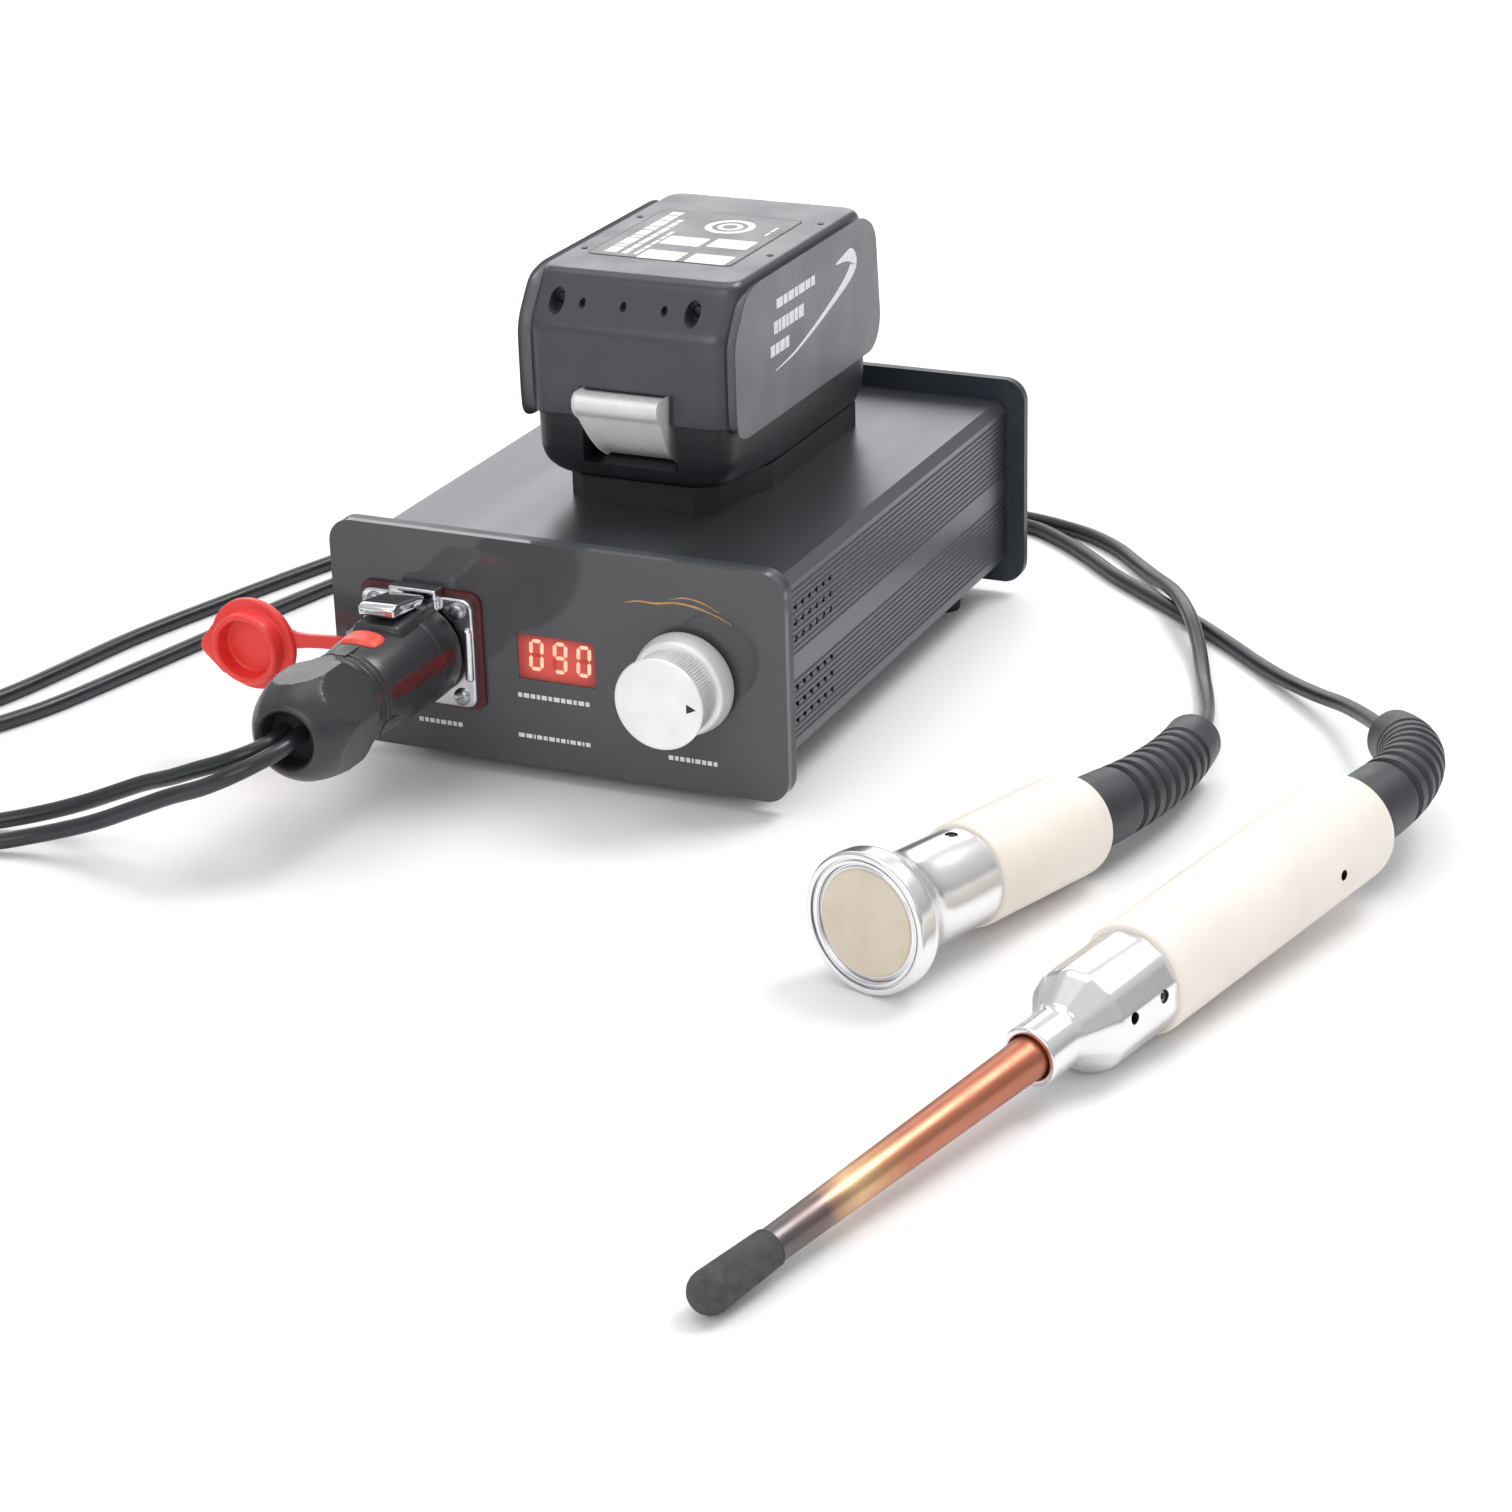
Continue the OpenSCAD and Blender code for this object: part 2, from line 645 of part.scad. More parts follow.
module socket_flange() {
    y0 = front_y - gasket_t - flange_t;
    y1 = front_y - gasket_t;
    color([0.85, 0.85, 0.86]) difference() {
        union() {
            plate(socket_x, socket_z, flange_w, flange_h, 4, y0, y1);
            block([socket_x - 8, y0 - 3, socket_z + 18], [socket_x + 8.5, y1, socket_z + 21.5]);
            for (z = [cap_z - 4.2, cap_z + 4.4]) block(
                [cap_pivot[0] - 1.8, cap_pivot[1] - 1.8, z], [socket_x - 17.4, y1 - 0.6, z + 1.6]);
        }
        translate([cap_pivot[0], cap_pivot[1], cap_z - 5]) cylinder(r = 1.01, h = 12);
        ycyl(socket_x, socket_z, socket_hole_r, y0 - 1, y1 + 1);
        socket_screw_holes(y0 - 1, y1 + 1, hole_r);
        for (k = [-1, 1]) block([socket_x + k * 20 - 1.4, y0 - 1, socket_z - 9],
                                [socket_x + k * 20 + 1.4, y0 + 1.2, socket_z + 9]);
    }
}

module socket_screws() {
    color([0.8, 0.8, 0.82]) for (i = [-1, 1], k = [-1, 1])
        pan_screw(socket_x + i * socket_screw_x, front_y - gasket_t - flange_t,
                  socket_z + k * socket_screw_z, 12);
}

module socket_insert() {
    color([0.07, 0.07, 0.08]) {
        turned(socket_x, socket_z, [
            [0, -16], [13.9, -16], [13.9, 5], [12, 5], [12, -6], [0, -6]]);
        for (a = [90, 210, 330])
            ycyl(socket_x + 6 * cos(a), socket_z + 6 * sin(a), 1.5, front_y, front_y + 6);
    }
}

module cap_pin() {
    color([0.7, 0.7, 0.72]) translate([cap_pivot[0], cap_pivot[1], cap_z - 4.6])
        cylinder(r = 1, h = 11);
}

module dust_cap() {
    x = -103.5;
    z = cap_z - 2.2;
    color([0.93, 0.3, 0.27]) difference() {
        union() {
            turned(x, z, [
                [0, 11.5], [15.5, 11.5], [15.5, 14], [12.4, 14], [12.1, 19], [11.4, 19.5],
                [10.3, 19.5], [9.8, 19], [9.6, 13.8], [0, 13.8]]);
            hull() for (p = [[1.2, -4, 1.2], [8, -10, 1.5], [8, 6, 1.5]])
                translate([x - 20 + p[0], front_y - 14, z + p[1]]) rotate([-90, 0, 0])
                    cylinder(r = p[2], h = 2.4, $fn = 24);
            translate([x + 14, front_y - 13.2, cap_z - 1.6]) rotate([0, 0, 11])
                cube([20.2, 1.6, 4.4]);
            translate([cap_pivot[0], cap_pivot[1], cap_z - 2.2]) cylinder(r = 2.3, h = 5.8);
        }
        translate([cap_pivot[0], cap_pivot[1], cap_z - 5]) cylinder(r = 1.05, h = 12);
    }
}

module plug_shell() {
    color([0.29, 0.29, 0.31]) difference() {
        union() {
            turned(socket_x, socket_z, [
                [0, 5.4], [16.2, 5.4], [17, 8], [16.8, 22], [16, 36], [15.6, 44],
                [14.4, 48.5], [0, 48.5]]);
            hull() {
                block([socket_x - 9, front_y - 30, socket_z + 8],
                      [socket_x + 9, front_y - 5.4, socket_z + 17.2]);
                block([socket_x - 8, front_y - 40, socket_z + 8],
                      [socket_x + 8, front_y - 5.4, socket_z + 13]);
            }
            turned(socket_x, socket_z, [[0, -5], [11.4, -5], [11.4, 5.4], [0, 5.4]]);
        }
        turned(socket_x, socket_z, [[0, -6], [9, -6], [9, 20], [10.5, 22], [10.5, 49.5], [0, 49.5]]);
        block([socket_x - 6.9, front_y - 30, socket_z + 16],
              [socket_x + 6.9, front_y - 5, socket_z + 24]);
    }
}

module plug_latch() {
    z = socket_z + 17.6;
    color([0.86, 0.86, 0.87]) difference() {
        union() {
            block([socket_x - 6.5, front_y - 28, z], [socket_x + 6.5, front_y - 9, z + 2.6]);
            block([socket_x - 6.5, front_y - 28, z], [socket_x + 6.5, front_y - 24, z + 5.2]);
        }
        xcyl(front_y - 15, z + 1.1, 0.75 + run, socket_x - 8, socket_x + 8);
    }
}

module latch_pin() {
    color([0.7, 0.7, 0.72])
        xcyl(front_y - 15, socket_z + 18.7, 0.75, socket_x - 6.9, socket_x + 6.9);
}

module gland_ring() {
    color([0.2, 0.2, 0.21]) turned(socket_x, socket_z, [
        [10.4, 24], [10.4, 66], [8.6, 66], [8.6, 23], [10.2, 23]]);
    color([0.3, 0.3, 0.32]) turned(socket_x, socket_z, [
        [10.4, 48.6], [15, 48.6], [15.4, 49.4], [15.4, 53.4], [14.2, 54.2], [10.4, 54.2]]);
}

module gland_nut() {
    color([0.26, 0.26, 0.28]) difference() {
        intersection() {
            turned(socket_x, socket_z, [
                [0, 54.4], [16.4, 54.4], [18.6, 57], [18.8, 66], [18.2, 72],
                [16, 78], [12.8, 82.5], [10.6, 84], [0, 84]]);
            translate([socket_x, front_y - 54, socket_z]) rotate([90, 0, 0])
                rotate([0, 0, 30]) cylinder(r = 20.4, h = 31, $fn = 6);
        }
        turned(socket_x, socket_z, [
            [0, 53], [10.5, 53], [10.5, 68], [9.6, 68.2], [9.6, 82], [10.2, 85], [0, 85]]);
    }
}

module gland_seal() {
    color([0.06, 0.06, 0.06])
        turned(socket_x, socket_z, [[0, 68.4], [9.5, 68.4], [9.5, 79.6], [0, 79.6]]);
}

// ---- Handpieces ----

module place_disc() {
    translate(disc_nose) rotate([-disc_fall - 90, 0, -disc_turn]) children();
}

module place_rod() {
    translate(rod_tip) rotate([rod_rise - 90, 0, -rod_turn]) children();
}

disc_grip_s = 46;
rod_grip_s = 185;

module disc_head() {
    color([0.85, 0.86, 0.87]) place_disc() difference() {
        rotate_extrude() polygon([
            [17.3, 0.7], [18, 0], [disc_r - 0.8, 0], [disc_r, 0.8], [disc_r, 6],
            [disc_r - 0.8, 7.6], [18.4, 11.4], [16.4, 15], [15.2, 18.6], [14.8, 22],
            [14.8, disc_grip_s], [13.4, disc_grip_s], [13.4, 60], [11.8, 60],
            [11.8, 15], [17.3, 12]]);
        translate([0, -10, 40]) rotate([90, 0, 0]) cylinder(r = 1.9, h = 8);
    }
}

module disc_face() {
    color([0.86, 0.82, 0.74]) place_disc() translate([0, 0, 1]) cylinder(r = 16.1, h = 3);
}

module disc_coil() {
    color([0.75, 0.42, 0.2]) place_disc() rotate_extrude()
        polygon([[4, 4.2], [15.8, 4.2], [15.8, 8], [4, 8]]);
}

module disc_screw() {
    color([0.6, 0.6, 0.62]) place_disc() translate([0, -12.2, 40]) rotate([90, 0, 0])
        rotate_extrude() polygon([[0, 0], [1.85, 0], [1.85, 2], [0.9, 2], [0.9, 1], [0, 1]]);
}

// A handle with a chamfered front edge and a rounded rear end, from station s.
module grip(s, length, r, bore) {
    round_r = 5;
    arc = [for (a = [0 : 15 : 90])
        [r - round_r + round_r * cos(a), s + length - round_r + round_r * sin(a)]];
    rotate_extrude() polygon(concat(
        [[bore, s], [r - 0.8, s], [r, s + 0.8]], arc,
        [[9, s + length], [9, s + length - 4], [bore, s + length - 4]]));
}

module disc_handle() {
    color([0.96, 0.94, 0.88]) place_disc()
        grip(disc_grip_s, disc_grip_l, disc_grip_r, 13.5);
}

// Middle line of a boot that turns left by bend degrees after a straight collar.
function boot_line(s, bend, straight) =
    let (radius = boot_arc * 180 / (PI * bend))
    concat([[0, 0, s - 3.5], [0, 0, s + 0.1], [0, 0, s + 0.2], [0, 0, s + straight]],
        [for (i = [1 : 24]) let (a = bend * i / 24)
            [-radius * (1 - cos(a)), 0, s + straight + radius * sin(a)]]);

boot_radii = concat([8.8, 8.8, 12, 11.8], [for (i = [1 : 24])
    11.8 - 3.8 * i / 24 + (i % 3 == 0 ? -1.1 : 0)]);

// Boot swept with its rings square to the middle line; the line lies in one plane.
module boot(s, bend, straight) {
    line = boot_line(s, bend, straight);
    sides = 24;
    n = len(line);
    points = [for (i = [0 : n - 1])
        let (a = i < 4 ? 0 : bend * (i - 3) / 24)
        for (k = [0 : sides - 1])
            line[i] + boot_radii[i] * (cos(360 * k / sides) * [cos(a), 0, sin(a)]
                + sin(360 * k / sides) * [0, 1, 0])];
    polyhedron(points, tube_faces(n, sides));
}

module disc_boot() {
    color([0.2, 0.21, 0.23]) place_disc()
        boot(disc_grip_s + disc_grip_l, disc_bend, disc_straight);
}

module copper_rod() {
    color([0.82, 0.48, 0.35]) place_rod() rotate_extrude() polygon([
        [0, 5], [3.6, 5], [4.6, 6.5], [4.7, 28], [6.1, 136], [6.1, 205], [0, 205]]);
}

module rod_tip_coat() {
    r = 5.8;
    arc = [for (a = [90 : -15 : 0]) [r * cos(a), r - r * sin(a)]];
    color([0.33, 0.33, 0.33]) place_rod() rotate_extrude() polygon(concat(
        arc, [[5.2, 28], [4.75, 28], [4.65, 6.4], [3.7, 4.9], [0, 4.9]]));
}

module rod_ferrule() {
    color([0.86, 0.87, 0.88]) place_rod() difference() {
        intersection() {
            rotate_extrude() polygon([
                [6.15, 137], [7, 136], [8.2, 136], [8.6, 136.6], [8.6, 148.5], [9.4, 150.3],
                [14.5, 157.6], [15.2, 159.1], [15.2, rod_grip_s], [13.9, rod_grip_s],
                [13.9, 203], [11.5, 203], [11.5, 172], [6.15, 170]]);
            translate([0, 0, 135]) cylinder(r = 15.6, h = 80, $fn = 12);
        }
        rotate([0, 0, rod_hole_turn]) translate([11, 0, 164]) rotate([0, 90, 0])
            cylinder(r = 1.7, h = 8);
        rotate([0, 0, rod_hole_turn]) translate([11, 0, 178]) rotate([0, 90, 0])
            cylinder(r = 1.9, h = 8);
    }
}

module rod_screws() {
    color([0.55, 0.55, 0.57]) place_rod() rotate([0, 0, rod_hole_turn])
        translate([12.2, 0, 178]) rotate([0, 90, 0]) rotate_extrude()
            polygon([[0, 0], [1.85, 0], [1.85, 2.2], [0.9, 2.2], [0.9, 1.2], [0, 1.2]]);
}

module rod_winding() {
    color([0.78, 0.45, 0.22]) place_rod() rotate_extrude()
        polygon([[6.3, 205.2], [12, 205.2], [12, 290], [6.3, 290]]);
}

module rod_handle() {
    color([0.96, 0.94, 0.88]) place_rod() difference() {
        grip(rod_grip_s, rod_grip_l, rod_grip_r, 14);
        rotate([0, 0, -3]) translate([12, 0, 267]) rotate([0, 90, 0]) cylinder(r = 1.6, h = 8);
    }
}

module rod_boot() {
    color([0.2, 0.21, 0.23]) place_rod() rotate([0, 0, -rod_droop])
        boot(rod_grip_s + rod_grip_l, rod_bend, rod_straight);
}

// ---- Leads ----

module coil(centre) {
    color([0.15, 0.16, 0.18]) translate([centre[0], centre[1], 0]) rotate_extrude()
        polygon([[coil_r - lead_d / 2, 0], [coil_r + lead_d / 2, 0],
                 [coil_r + lead_d / 2, coil_h], [coil_r - lead_d / 2, coil_h]]);
}

upper_shell();
lower_shell();
front_bezel();
front_overlay();
rear_panel();
rubber_feet();
case_screws();
display_window();
display_module();
main_board();
heat_sink();
capacitors();
inductor();
fan_frame();
fan_rotor();
encoder_body();
encoder_plunger();
encoder_shaft();
knob();
battery_adapter();
adapter_terminals();
battery_case();
battery_cover();
battery_side_panels();
battery_label();
battery_cells();
battery_board();
release_button();
battery_screws();
socket_flange();
socket_gasket();
socket_screws();
socket_insert();
cap_pin();
dust_cap();
plug_shell();
plug_latch();
latch_pin();
gland_ring();
gland_nut();
gland_seal();
disc_head();
disc_face();
disc_coil();
disc_handle();
disc_boot();
disc_screw();
copper_rod();
rod_tip_coat();
rod_ferrule();
rod_handle();
rod_boot();
rod_screws();
rod_winding();
lead(disc_lead_out);  // disc_lead_plug_end
coil(west_coil);  // disc_lead_coil
lead(disc_lead_back);  // disc_lead_tool_end
lead(rod_lead_out);  // rod_lead_plug_end
coil(east_coil);  // rod_lead_coil
lead(rod_lead_back);  // rod_lead_tool_end
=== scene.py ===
"""Battery-powered soldering iron station: its looks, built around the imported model.

Shapes are given in millimetres and go into the meshes in metres. The front panel faces -Y.
"""
import json

import bpy
import numpy as np
from mathutils import Matrix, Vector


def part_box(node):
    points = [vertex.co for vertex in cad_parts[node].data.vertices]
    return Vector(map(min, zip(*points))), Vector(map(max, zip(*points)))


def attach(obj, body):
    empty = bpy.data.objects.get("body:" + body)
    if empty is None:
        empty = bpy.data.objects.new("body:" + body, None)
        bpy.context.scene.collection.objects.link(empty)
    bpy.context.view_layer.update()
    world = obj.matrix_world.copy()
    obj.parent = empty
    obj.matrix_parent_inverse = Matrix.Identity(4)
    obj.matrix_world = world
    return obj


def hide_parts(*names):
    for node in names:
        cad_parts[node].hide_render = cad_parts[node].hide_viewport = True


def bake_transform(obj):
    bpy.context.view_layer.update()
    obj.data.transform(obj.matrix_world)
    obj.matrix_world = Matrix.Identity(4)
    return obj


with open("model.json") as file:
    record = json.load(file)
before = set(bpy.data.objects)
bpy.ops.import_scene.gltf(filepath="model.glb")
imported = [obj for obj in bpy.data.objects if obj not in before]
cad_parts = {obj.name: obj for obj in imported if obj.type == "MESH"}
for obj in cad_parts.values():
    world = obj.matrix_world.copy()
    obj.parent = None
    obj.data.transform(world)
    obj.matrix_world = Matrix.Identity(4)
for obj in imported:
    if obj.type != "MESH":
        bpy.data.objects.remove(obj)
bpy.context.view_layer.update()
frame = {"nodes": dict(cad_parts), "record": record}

MM = 0.001
UP = np.array([0.0, 0.0, 1.0])


# ---- Camera ----

def rotation(axis, degrees):
    """Rotation matrix about one of the axes X, Y or Z."""
    return np.array(Matrix.Rotation(np.radians(degrees), 3, axis))


def make_camera():
    """Camera looking down and to the left: D = Rz(azimuth) Rx(-elevation) (0, 1, 0), then a small roll."""
    data = bpy.data.cameras.new("camera")
    data.lens, data.sensor_width = 85.84, 36.0
    data.clip_start, data.clip_end = 0.05, 30.0
    camera = bpy.data.objects.new("camera", data)
    bpy.context.scene.collection.objects.link(camera)
    azimuth, elevation, roll = 24.80, 23.125, -1.6175
    turn = rotation("Z", azimuth) @ rotation("X", 90 - elevation) @ rotation("Z", roll)
    matrix = Matrix(turn.tolist()).to_4x4()
    matrix.translation = (0.50213, -1.04441, 0.46113)
    camera.matrix_world = matrix
    bpy.context.scene.camera = camera


make_camera()


# ---- Surfaces worked out on grids ----

def between(rings):
    """Quads joining ring i to ring i + 1 at places j and j + 1, where each ring closes on itself."""
    n, m = rings.shape[:2]
    i, j = np.meshgrid(np.arange(n - 1), np.arange(m), indexing="ij")
    a, b = i * m + j, i * m + (j + 1) % m
    return np.stack([a, b, b + m, a + m], -1).reshape(-1, 4)


def skin(rings, flat_ends=False):
    """Closed skin over a stack of rings. Each end is a fan about its mean, or one flat face."""
    n, m = rings.shape[:2]
    points = rings.reshape(-1, 3)
    k = np.arange(m)
    if flat_ends:
        return points, [between(rings), k[None, ::-1], (n - 1) * m + k[None, :]]
    points = np.concatenate([points, rings[0].mean(0)[None], rings[-1].mean(0)[None]])
    low = np.stack([(k + 1) % m, k, np.full(m, n * m)], -1)
    high = np.stack([(n - 1) * m + k, (n - 1) * m + (k + 1) % m, np.full(m, n * m + 1)], -1)
    return points, [between(rings), low, high]


def rounded(corners, radius, steps=5):
    """Open line whose corners are arcs: (1-t)^2 A + 2t(1-t) P + t^2 B, with A and B up to `radius`
    from corner P along its two sides, and at most 0.49 of a side."""
    p = np.asarray(corners, float)
    reach = np.broadcast_to(np.asarray(radius, float), (len(p),))[1:-1, None]
    before, after = p[:-2] - p[1:-1], p[2:] - p[1:-1]
    la = np.linalg.norm(before, axis=1, keepdims=True)
    lb = np.linalg.norm(after, axis=1, keepdims=True)
    a = p[1:-1] + before / la * np.minimum(reach, 0.49 * la)
    b = p[1:-1] + after / lb * np.minimum(reach, 0.49 * lb)
    t = np.linspace(0, 1, steps)[None, :, None]
    arcs = (1 - t) ** 2 * a[:, None] + 2 * t * (1 - t) * p[1:-1, None] + t ** 2 * b[:, None]
    return np.concatenate([p[:1], arcs.reshape(-1, p.shape[1]), p[-1:]])


def rounded_loop(corners, radius, steps=5):
    """Closed outline with the corners of `rounded`."""
    p = np.asarray(corners, float)
    reach = np.broadcast_to(np.asarray(radius, float), (len(p),))
    around = np.concatenate([p[-1:], p, p[:1]])
    return rounded(around, np.concatenate([[0], reach, [0]]), steps)[1:-1]


def rectangle(x0, x1, y0, y1, radius, steps=6):
    """Outline of a rectangle with round corners, counter-clockwise."""
    return rounded_loop([(x0, y0), (x1, y0), (x1, y1), (x0, y1)], radius, steps)


def turned(profile, sides=96, scale=None):
    """Rings about local z: (r cos t, r sin t, s) for each profile point (r, s); scale(t, s) may
    multiply r."""
    r, s = np.asarray(profile, float).T
    t = np.linspace(0, 2 * np.pi, sides, endpoint=False)[None, :]
    wide = r[:, None] * (np.ones_like(t) if scale is None else scale(t, s[:, None]))
    return np.stack([wide * np.cos(t), wide * np.sin(t), np.broadcast_to(s[:, None], wide.shape)], -1)


def inset(outline, distance):
    """Outline moved inwards along the mean of its sides' normals."""
    forward = np.roll(outline, -1, 0) - outline
    forward /= np.maximum(np.linalg.norm(forward, axis=1, keepdims=True), 1e-9)
    mean = forward + np.roll(forward, 1, 0)
    mean /= np.maximum(np.linalg.norm(mean, axis=1, keepdims=True), 1e-9)
    return outline + distance * np.stack([-mean[:, 1], mean[:, 0]], -1)


def prism(outline, low, high, edge=0.0, base_edge=None, steps=4):
    """Rings of an outline raised from low to high along local z. Its edges are quarter rounds:
    at angle a the outline is inset by e (1 - sin a) and stands e (1 - cos a) from the end."""
    base_edge = edge if base_edge is None else base_edge
    a = np.linspace(0, np.pi / 2, steps + 1)
    rings = [np.column_stack([inset(outline, base_edge * (1 - np.sin(u))),
                              np.full(len(outline), low + base_edge * (1 - np.cos(u)))])
             for u in (a if base_edge else a[-1:])]
    rings += [np.column_stack([inset(outline, edge * (1 - np.sin(u))),
                               np.full(len(outline), high - edge * (1 - np.cos(u)))])
              for u in (a[::-1] if edge else a[-1:])]
    return np.array(rings)


def tube(path, radius, sides=12, across=UP):
    """Rings of a tube: P + r (u cos t + v sin t), where u = d x across and v = u x d for the
    path's direction d. The radius is one number, one for each point, or a grid."""
    d = np.gradient(path, axis=0)
    d /= np.linalg.norm(d, axis=1, keepdims=True)
    u = np.cross(d, across)
    u /= np.linalg.norm(u, axis=1, keepdims=True)
    v = np.cross(u, d)
    t = np.linspace(0, 2 * np.pi, sides, endpoint=False)
    r = np.asarray(radius, float)
    r = r[..., None, None] if r.ndim < 2 else r[..., None]
    ring = u[:, None] * np.cos(t)[None, :, None] - v[:, None] * np.sin(t)[None, :, None]
    return path[:, None] + r * ring


def boxes(low, high):
    """Many plain boxes at once from arrays of their low and high corners."""
    low, high = np.atleast_2d(low).astype(float), np.atleast_2d(high).astype(float)
    pick = np.array([[i, j, k] for k in (0, 1) for j in (0, 1) for i in (0, 1)])
    points = low[:, None] + pick[None] * (high - low)[:, None]
    quads = np.array([[0, 2, 3, 1], [4, 5, 7, 6], [0, 1, 5, 4], [2, 6, 7, 3], [0, 4, 6, 2], [1, 3, 7, 5]])
    return points.reshape(-1, 3), [(np.arange(len(low))[:, None, None] * 8 + quads).reshape(-1, 4)]


def smooth_path(points, spans=6):
    """Catmull-Rom curve through the points: ((2B) + (C-A)t + (2A-5B+4C-D)t^2 + (3B-A-3C+D)t^3) / 2."""
    p = np.asarray(points, float)
    p = np.concatenate([2 * p[:1] - p[1:2], p, 2 * p[-1:] - p[-2:-1]])
    a, b, c, d = (p[i:len(p) - 3 + i, None] for i in range(4))
    t = np.linspace(0, 1, spans, endpoint=False)[None, :, None]
    curve = (2 * b + (c - a) * t + (2 * a - 5 * b + 4 * c - d) * t ** 2
             + (3 * b - a - 3 * c + d) * t ** 3) / 2
    return np.concatenate([curve.reshape(-1, 3), p[-2:-1]])


# ---- Places ----

def low(node):
    return np.array(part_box(node)[0]) / MM


def high(node):
    return np.array(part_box(node)[1]) / MM


def middle(node):
    return (low(node) + high(node)) / 2


def seat(shape, origin, turn=np.eye(3)):
    """Moves a grid or a skin of points from a piece's own axes to the row frame."""
    if isinstance(shape, tuple):
        return shape[0] @ turn.T + origin, shape[1]
    return shape @ turn.T + origin


FORWARD = rotation("X", 90)   # local z comes out of the front panel, local y is up
SIDEWAYS = np.array([[0, 0, 1.0], [1, 0, 0], [0, 1, 0]])   # local x is +Y, y is +Z, z is +X
MIRROR = np.diag([-1.0, 1, 1])
front_y = low("front_overlay")[1]
socket = np.array([middle("socket_gasket")[0], front_y, middle("socket_gasket")[2]])
dial = np.array([middle("knob")[0], front_y, middle("knob")[2]])
disc_nose, disc_turn = np.array([147.5, -209, 21.6]), rotation("Z", -16.2) @ rotation("X", -92.6)
rod_tip, rod_turn = np.array([176.7, -383.8, 6.1]), rotation("Z", -15.4) @ rotation("X", -86.7)


# ---- Pieces ----

def laid(shapes, material, origin, turn=FORWARD):
    """Seated skins with their material. A stack of rings is closed into a skin first."""
    return [(seat(s if isinstance(s, tuple) else skin(s), origin, turn), material) for s in shapes]


def bar(radius, start, end, origin, turn=np.eye(3), sides=32):
    """Plain round bar along local z, for cutting a hole."""
    return seat(skin(turned([(radius, start), (radius, end)], sides)), origin, turn)


def hoop(profile, sides):
    """Skin of a closed profile (r, s) carried once round local z."""
    wall = turned(np.concatenate([profile, profile[:1]]), sides)
    return wall.reshape(-1, 3), [between(wall)]


def volume(points, faces):
    """Enclosed volume: the sum of a . (b x c) / 6 over each face's fan of triangles."""
    total = 0.0
    for f in faces:
        a = points[f[:, 0]]
        for k in range(1, f.shape[1] - 1):
            total += np.einsum("ij,ij->", a, np.cross(points[f[:, k]], points[f[:, k + 1]])) / 6
    return total


def mesh_from(name, parts):
    """Mesh in metres from (skin, material) pairs; a skin that encloses less than nothing is turned."""
    points, polygons, slots, materials, start = [], [], [], [], 0
    for (co, faces), material in parts:
        if material not in materials:
            materials.append(material)
        turned_in = volume(co - co.mean(0), faces) < 0
        for f in faces:
            polygons += ((f[:, ::-1] if turned_in else f) + start).tolist()
            slots += [materials.index(material)] * len(f)
        points.append(co)
        start += len(co)
    mesh = bpy.data.meshes.new(name)
    mesh.from_pydata((np.concatenate(points) * MM).tolist(), [], polygons)
    for material in materials:
        mesh.materials.append(material)
    mesh.polygons.foreach_set("material_index", np.array(slots, np.int32))
    return mesh


def piece(name, body, parts, replaced=(), cuts=(), crease=32, inside=None):
    """Adds one piece of the object: closed skins, with any cut skins taken out of them, that
    stands for the CAD nodes in `replaced` and rides on `body`. The cut walls take the material
    `inside`, or else the first part's."""
    obj = bpy.data.objects.new(name, mesh_from(name, parts))
    bpy.context.scene.collection.objects.link(obj)
    if cuts:
        wall = inside or parts[0][1]
        cutter = bpy.data.objects.new("cutter", mesh_from("cutter", [(c, wall) for c in cuts]))
        bpy.context.scene.collection.objects.link(cutter)
        tool = obj.modifiers.new("cut", "BOOLEAN")
        tool.operation, tool.solver, tool.object = "DIFFERENCE", "EXACT", cutter
        tool.material_mode = "TRANSFER"
        done = bpy.data.meshes.new_from_object(obj.evaluated_get(bpy.context.evaluated_depsgraph_get()))
        obj.modifiers.clear()
        obj.data = done
        bpy.data.objects.remove(cutter)
    obj.data.shade_smooth()
    obj.data.set_sharp_from_angle(angle=np.radians(crease))
    if replaced:
        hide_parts(*replaced)
    if body:
        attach(obj, body)
    return obj


# ---- Materials ----

def linear(code):
    """sRGB hex to linear colour: c / 12.92 up to 0.04045, else ((c + 0.055) / 1.055) ** 2.4."""
    c = np.array([int(code[i:i + 2], 16) for i in (1, 3, 5)]) / 255
    return (*np.where(c <= 0.04045, c / 12.92, ((c + 0.055) / 1.055) ** 2.4).tolist(), 1.0)


def add(material, kind, settings=None, links=None):
    """Adds one shader node. Settings go to its properties or sockets, and links feed its sockets."""
    tree = material.node_tree
    node = tree.nodes.new("ShaderNode" + kind)
    for key, value in (settings or {}).items():
        if key in node.bl_rna.properties.keys():
            setattr(node, key, value)
        else:
            node.inputs[key].default_value = value
    for key, source in (links or {}).items():
        tree.links.new(source, node.inputs[key])
    return node


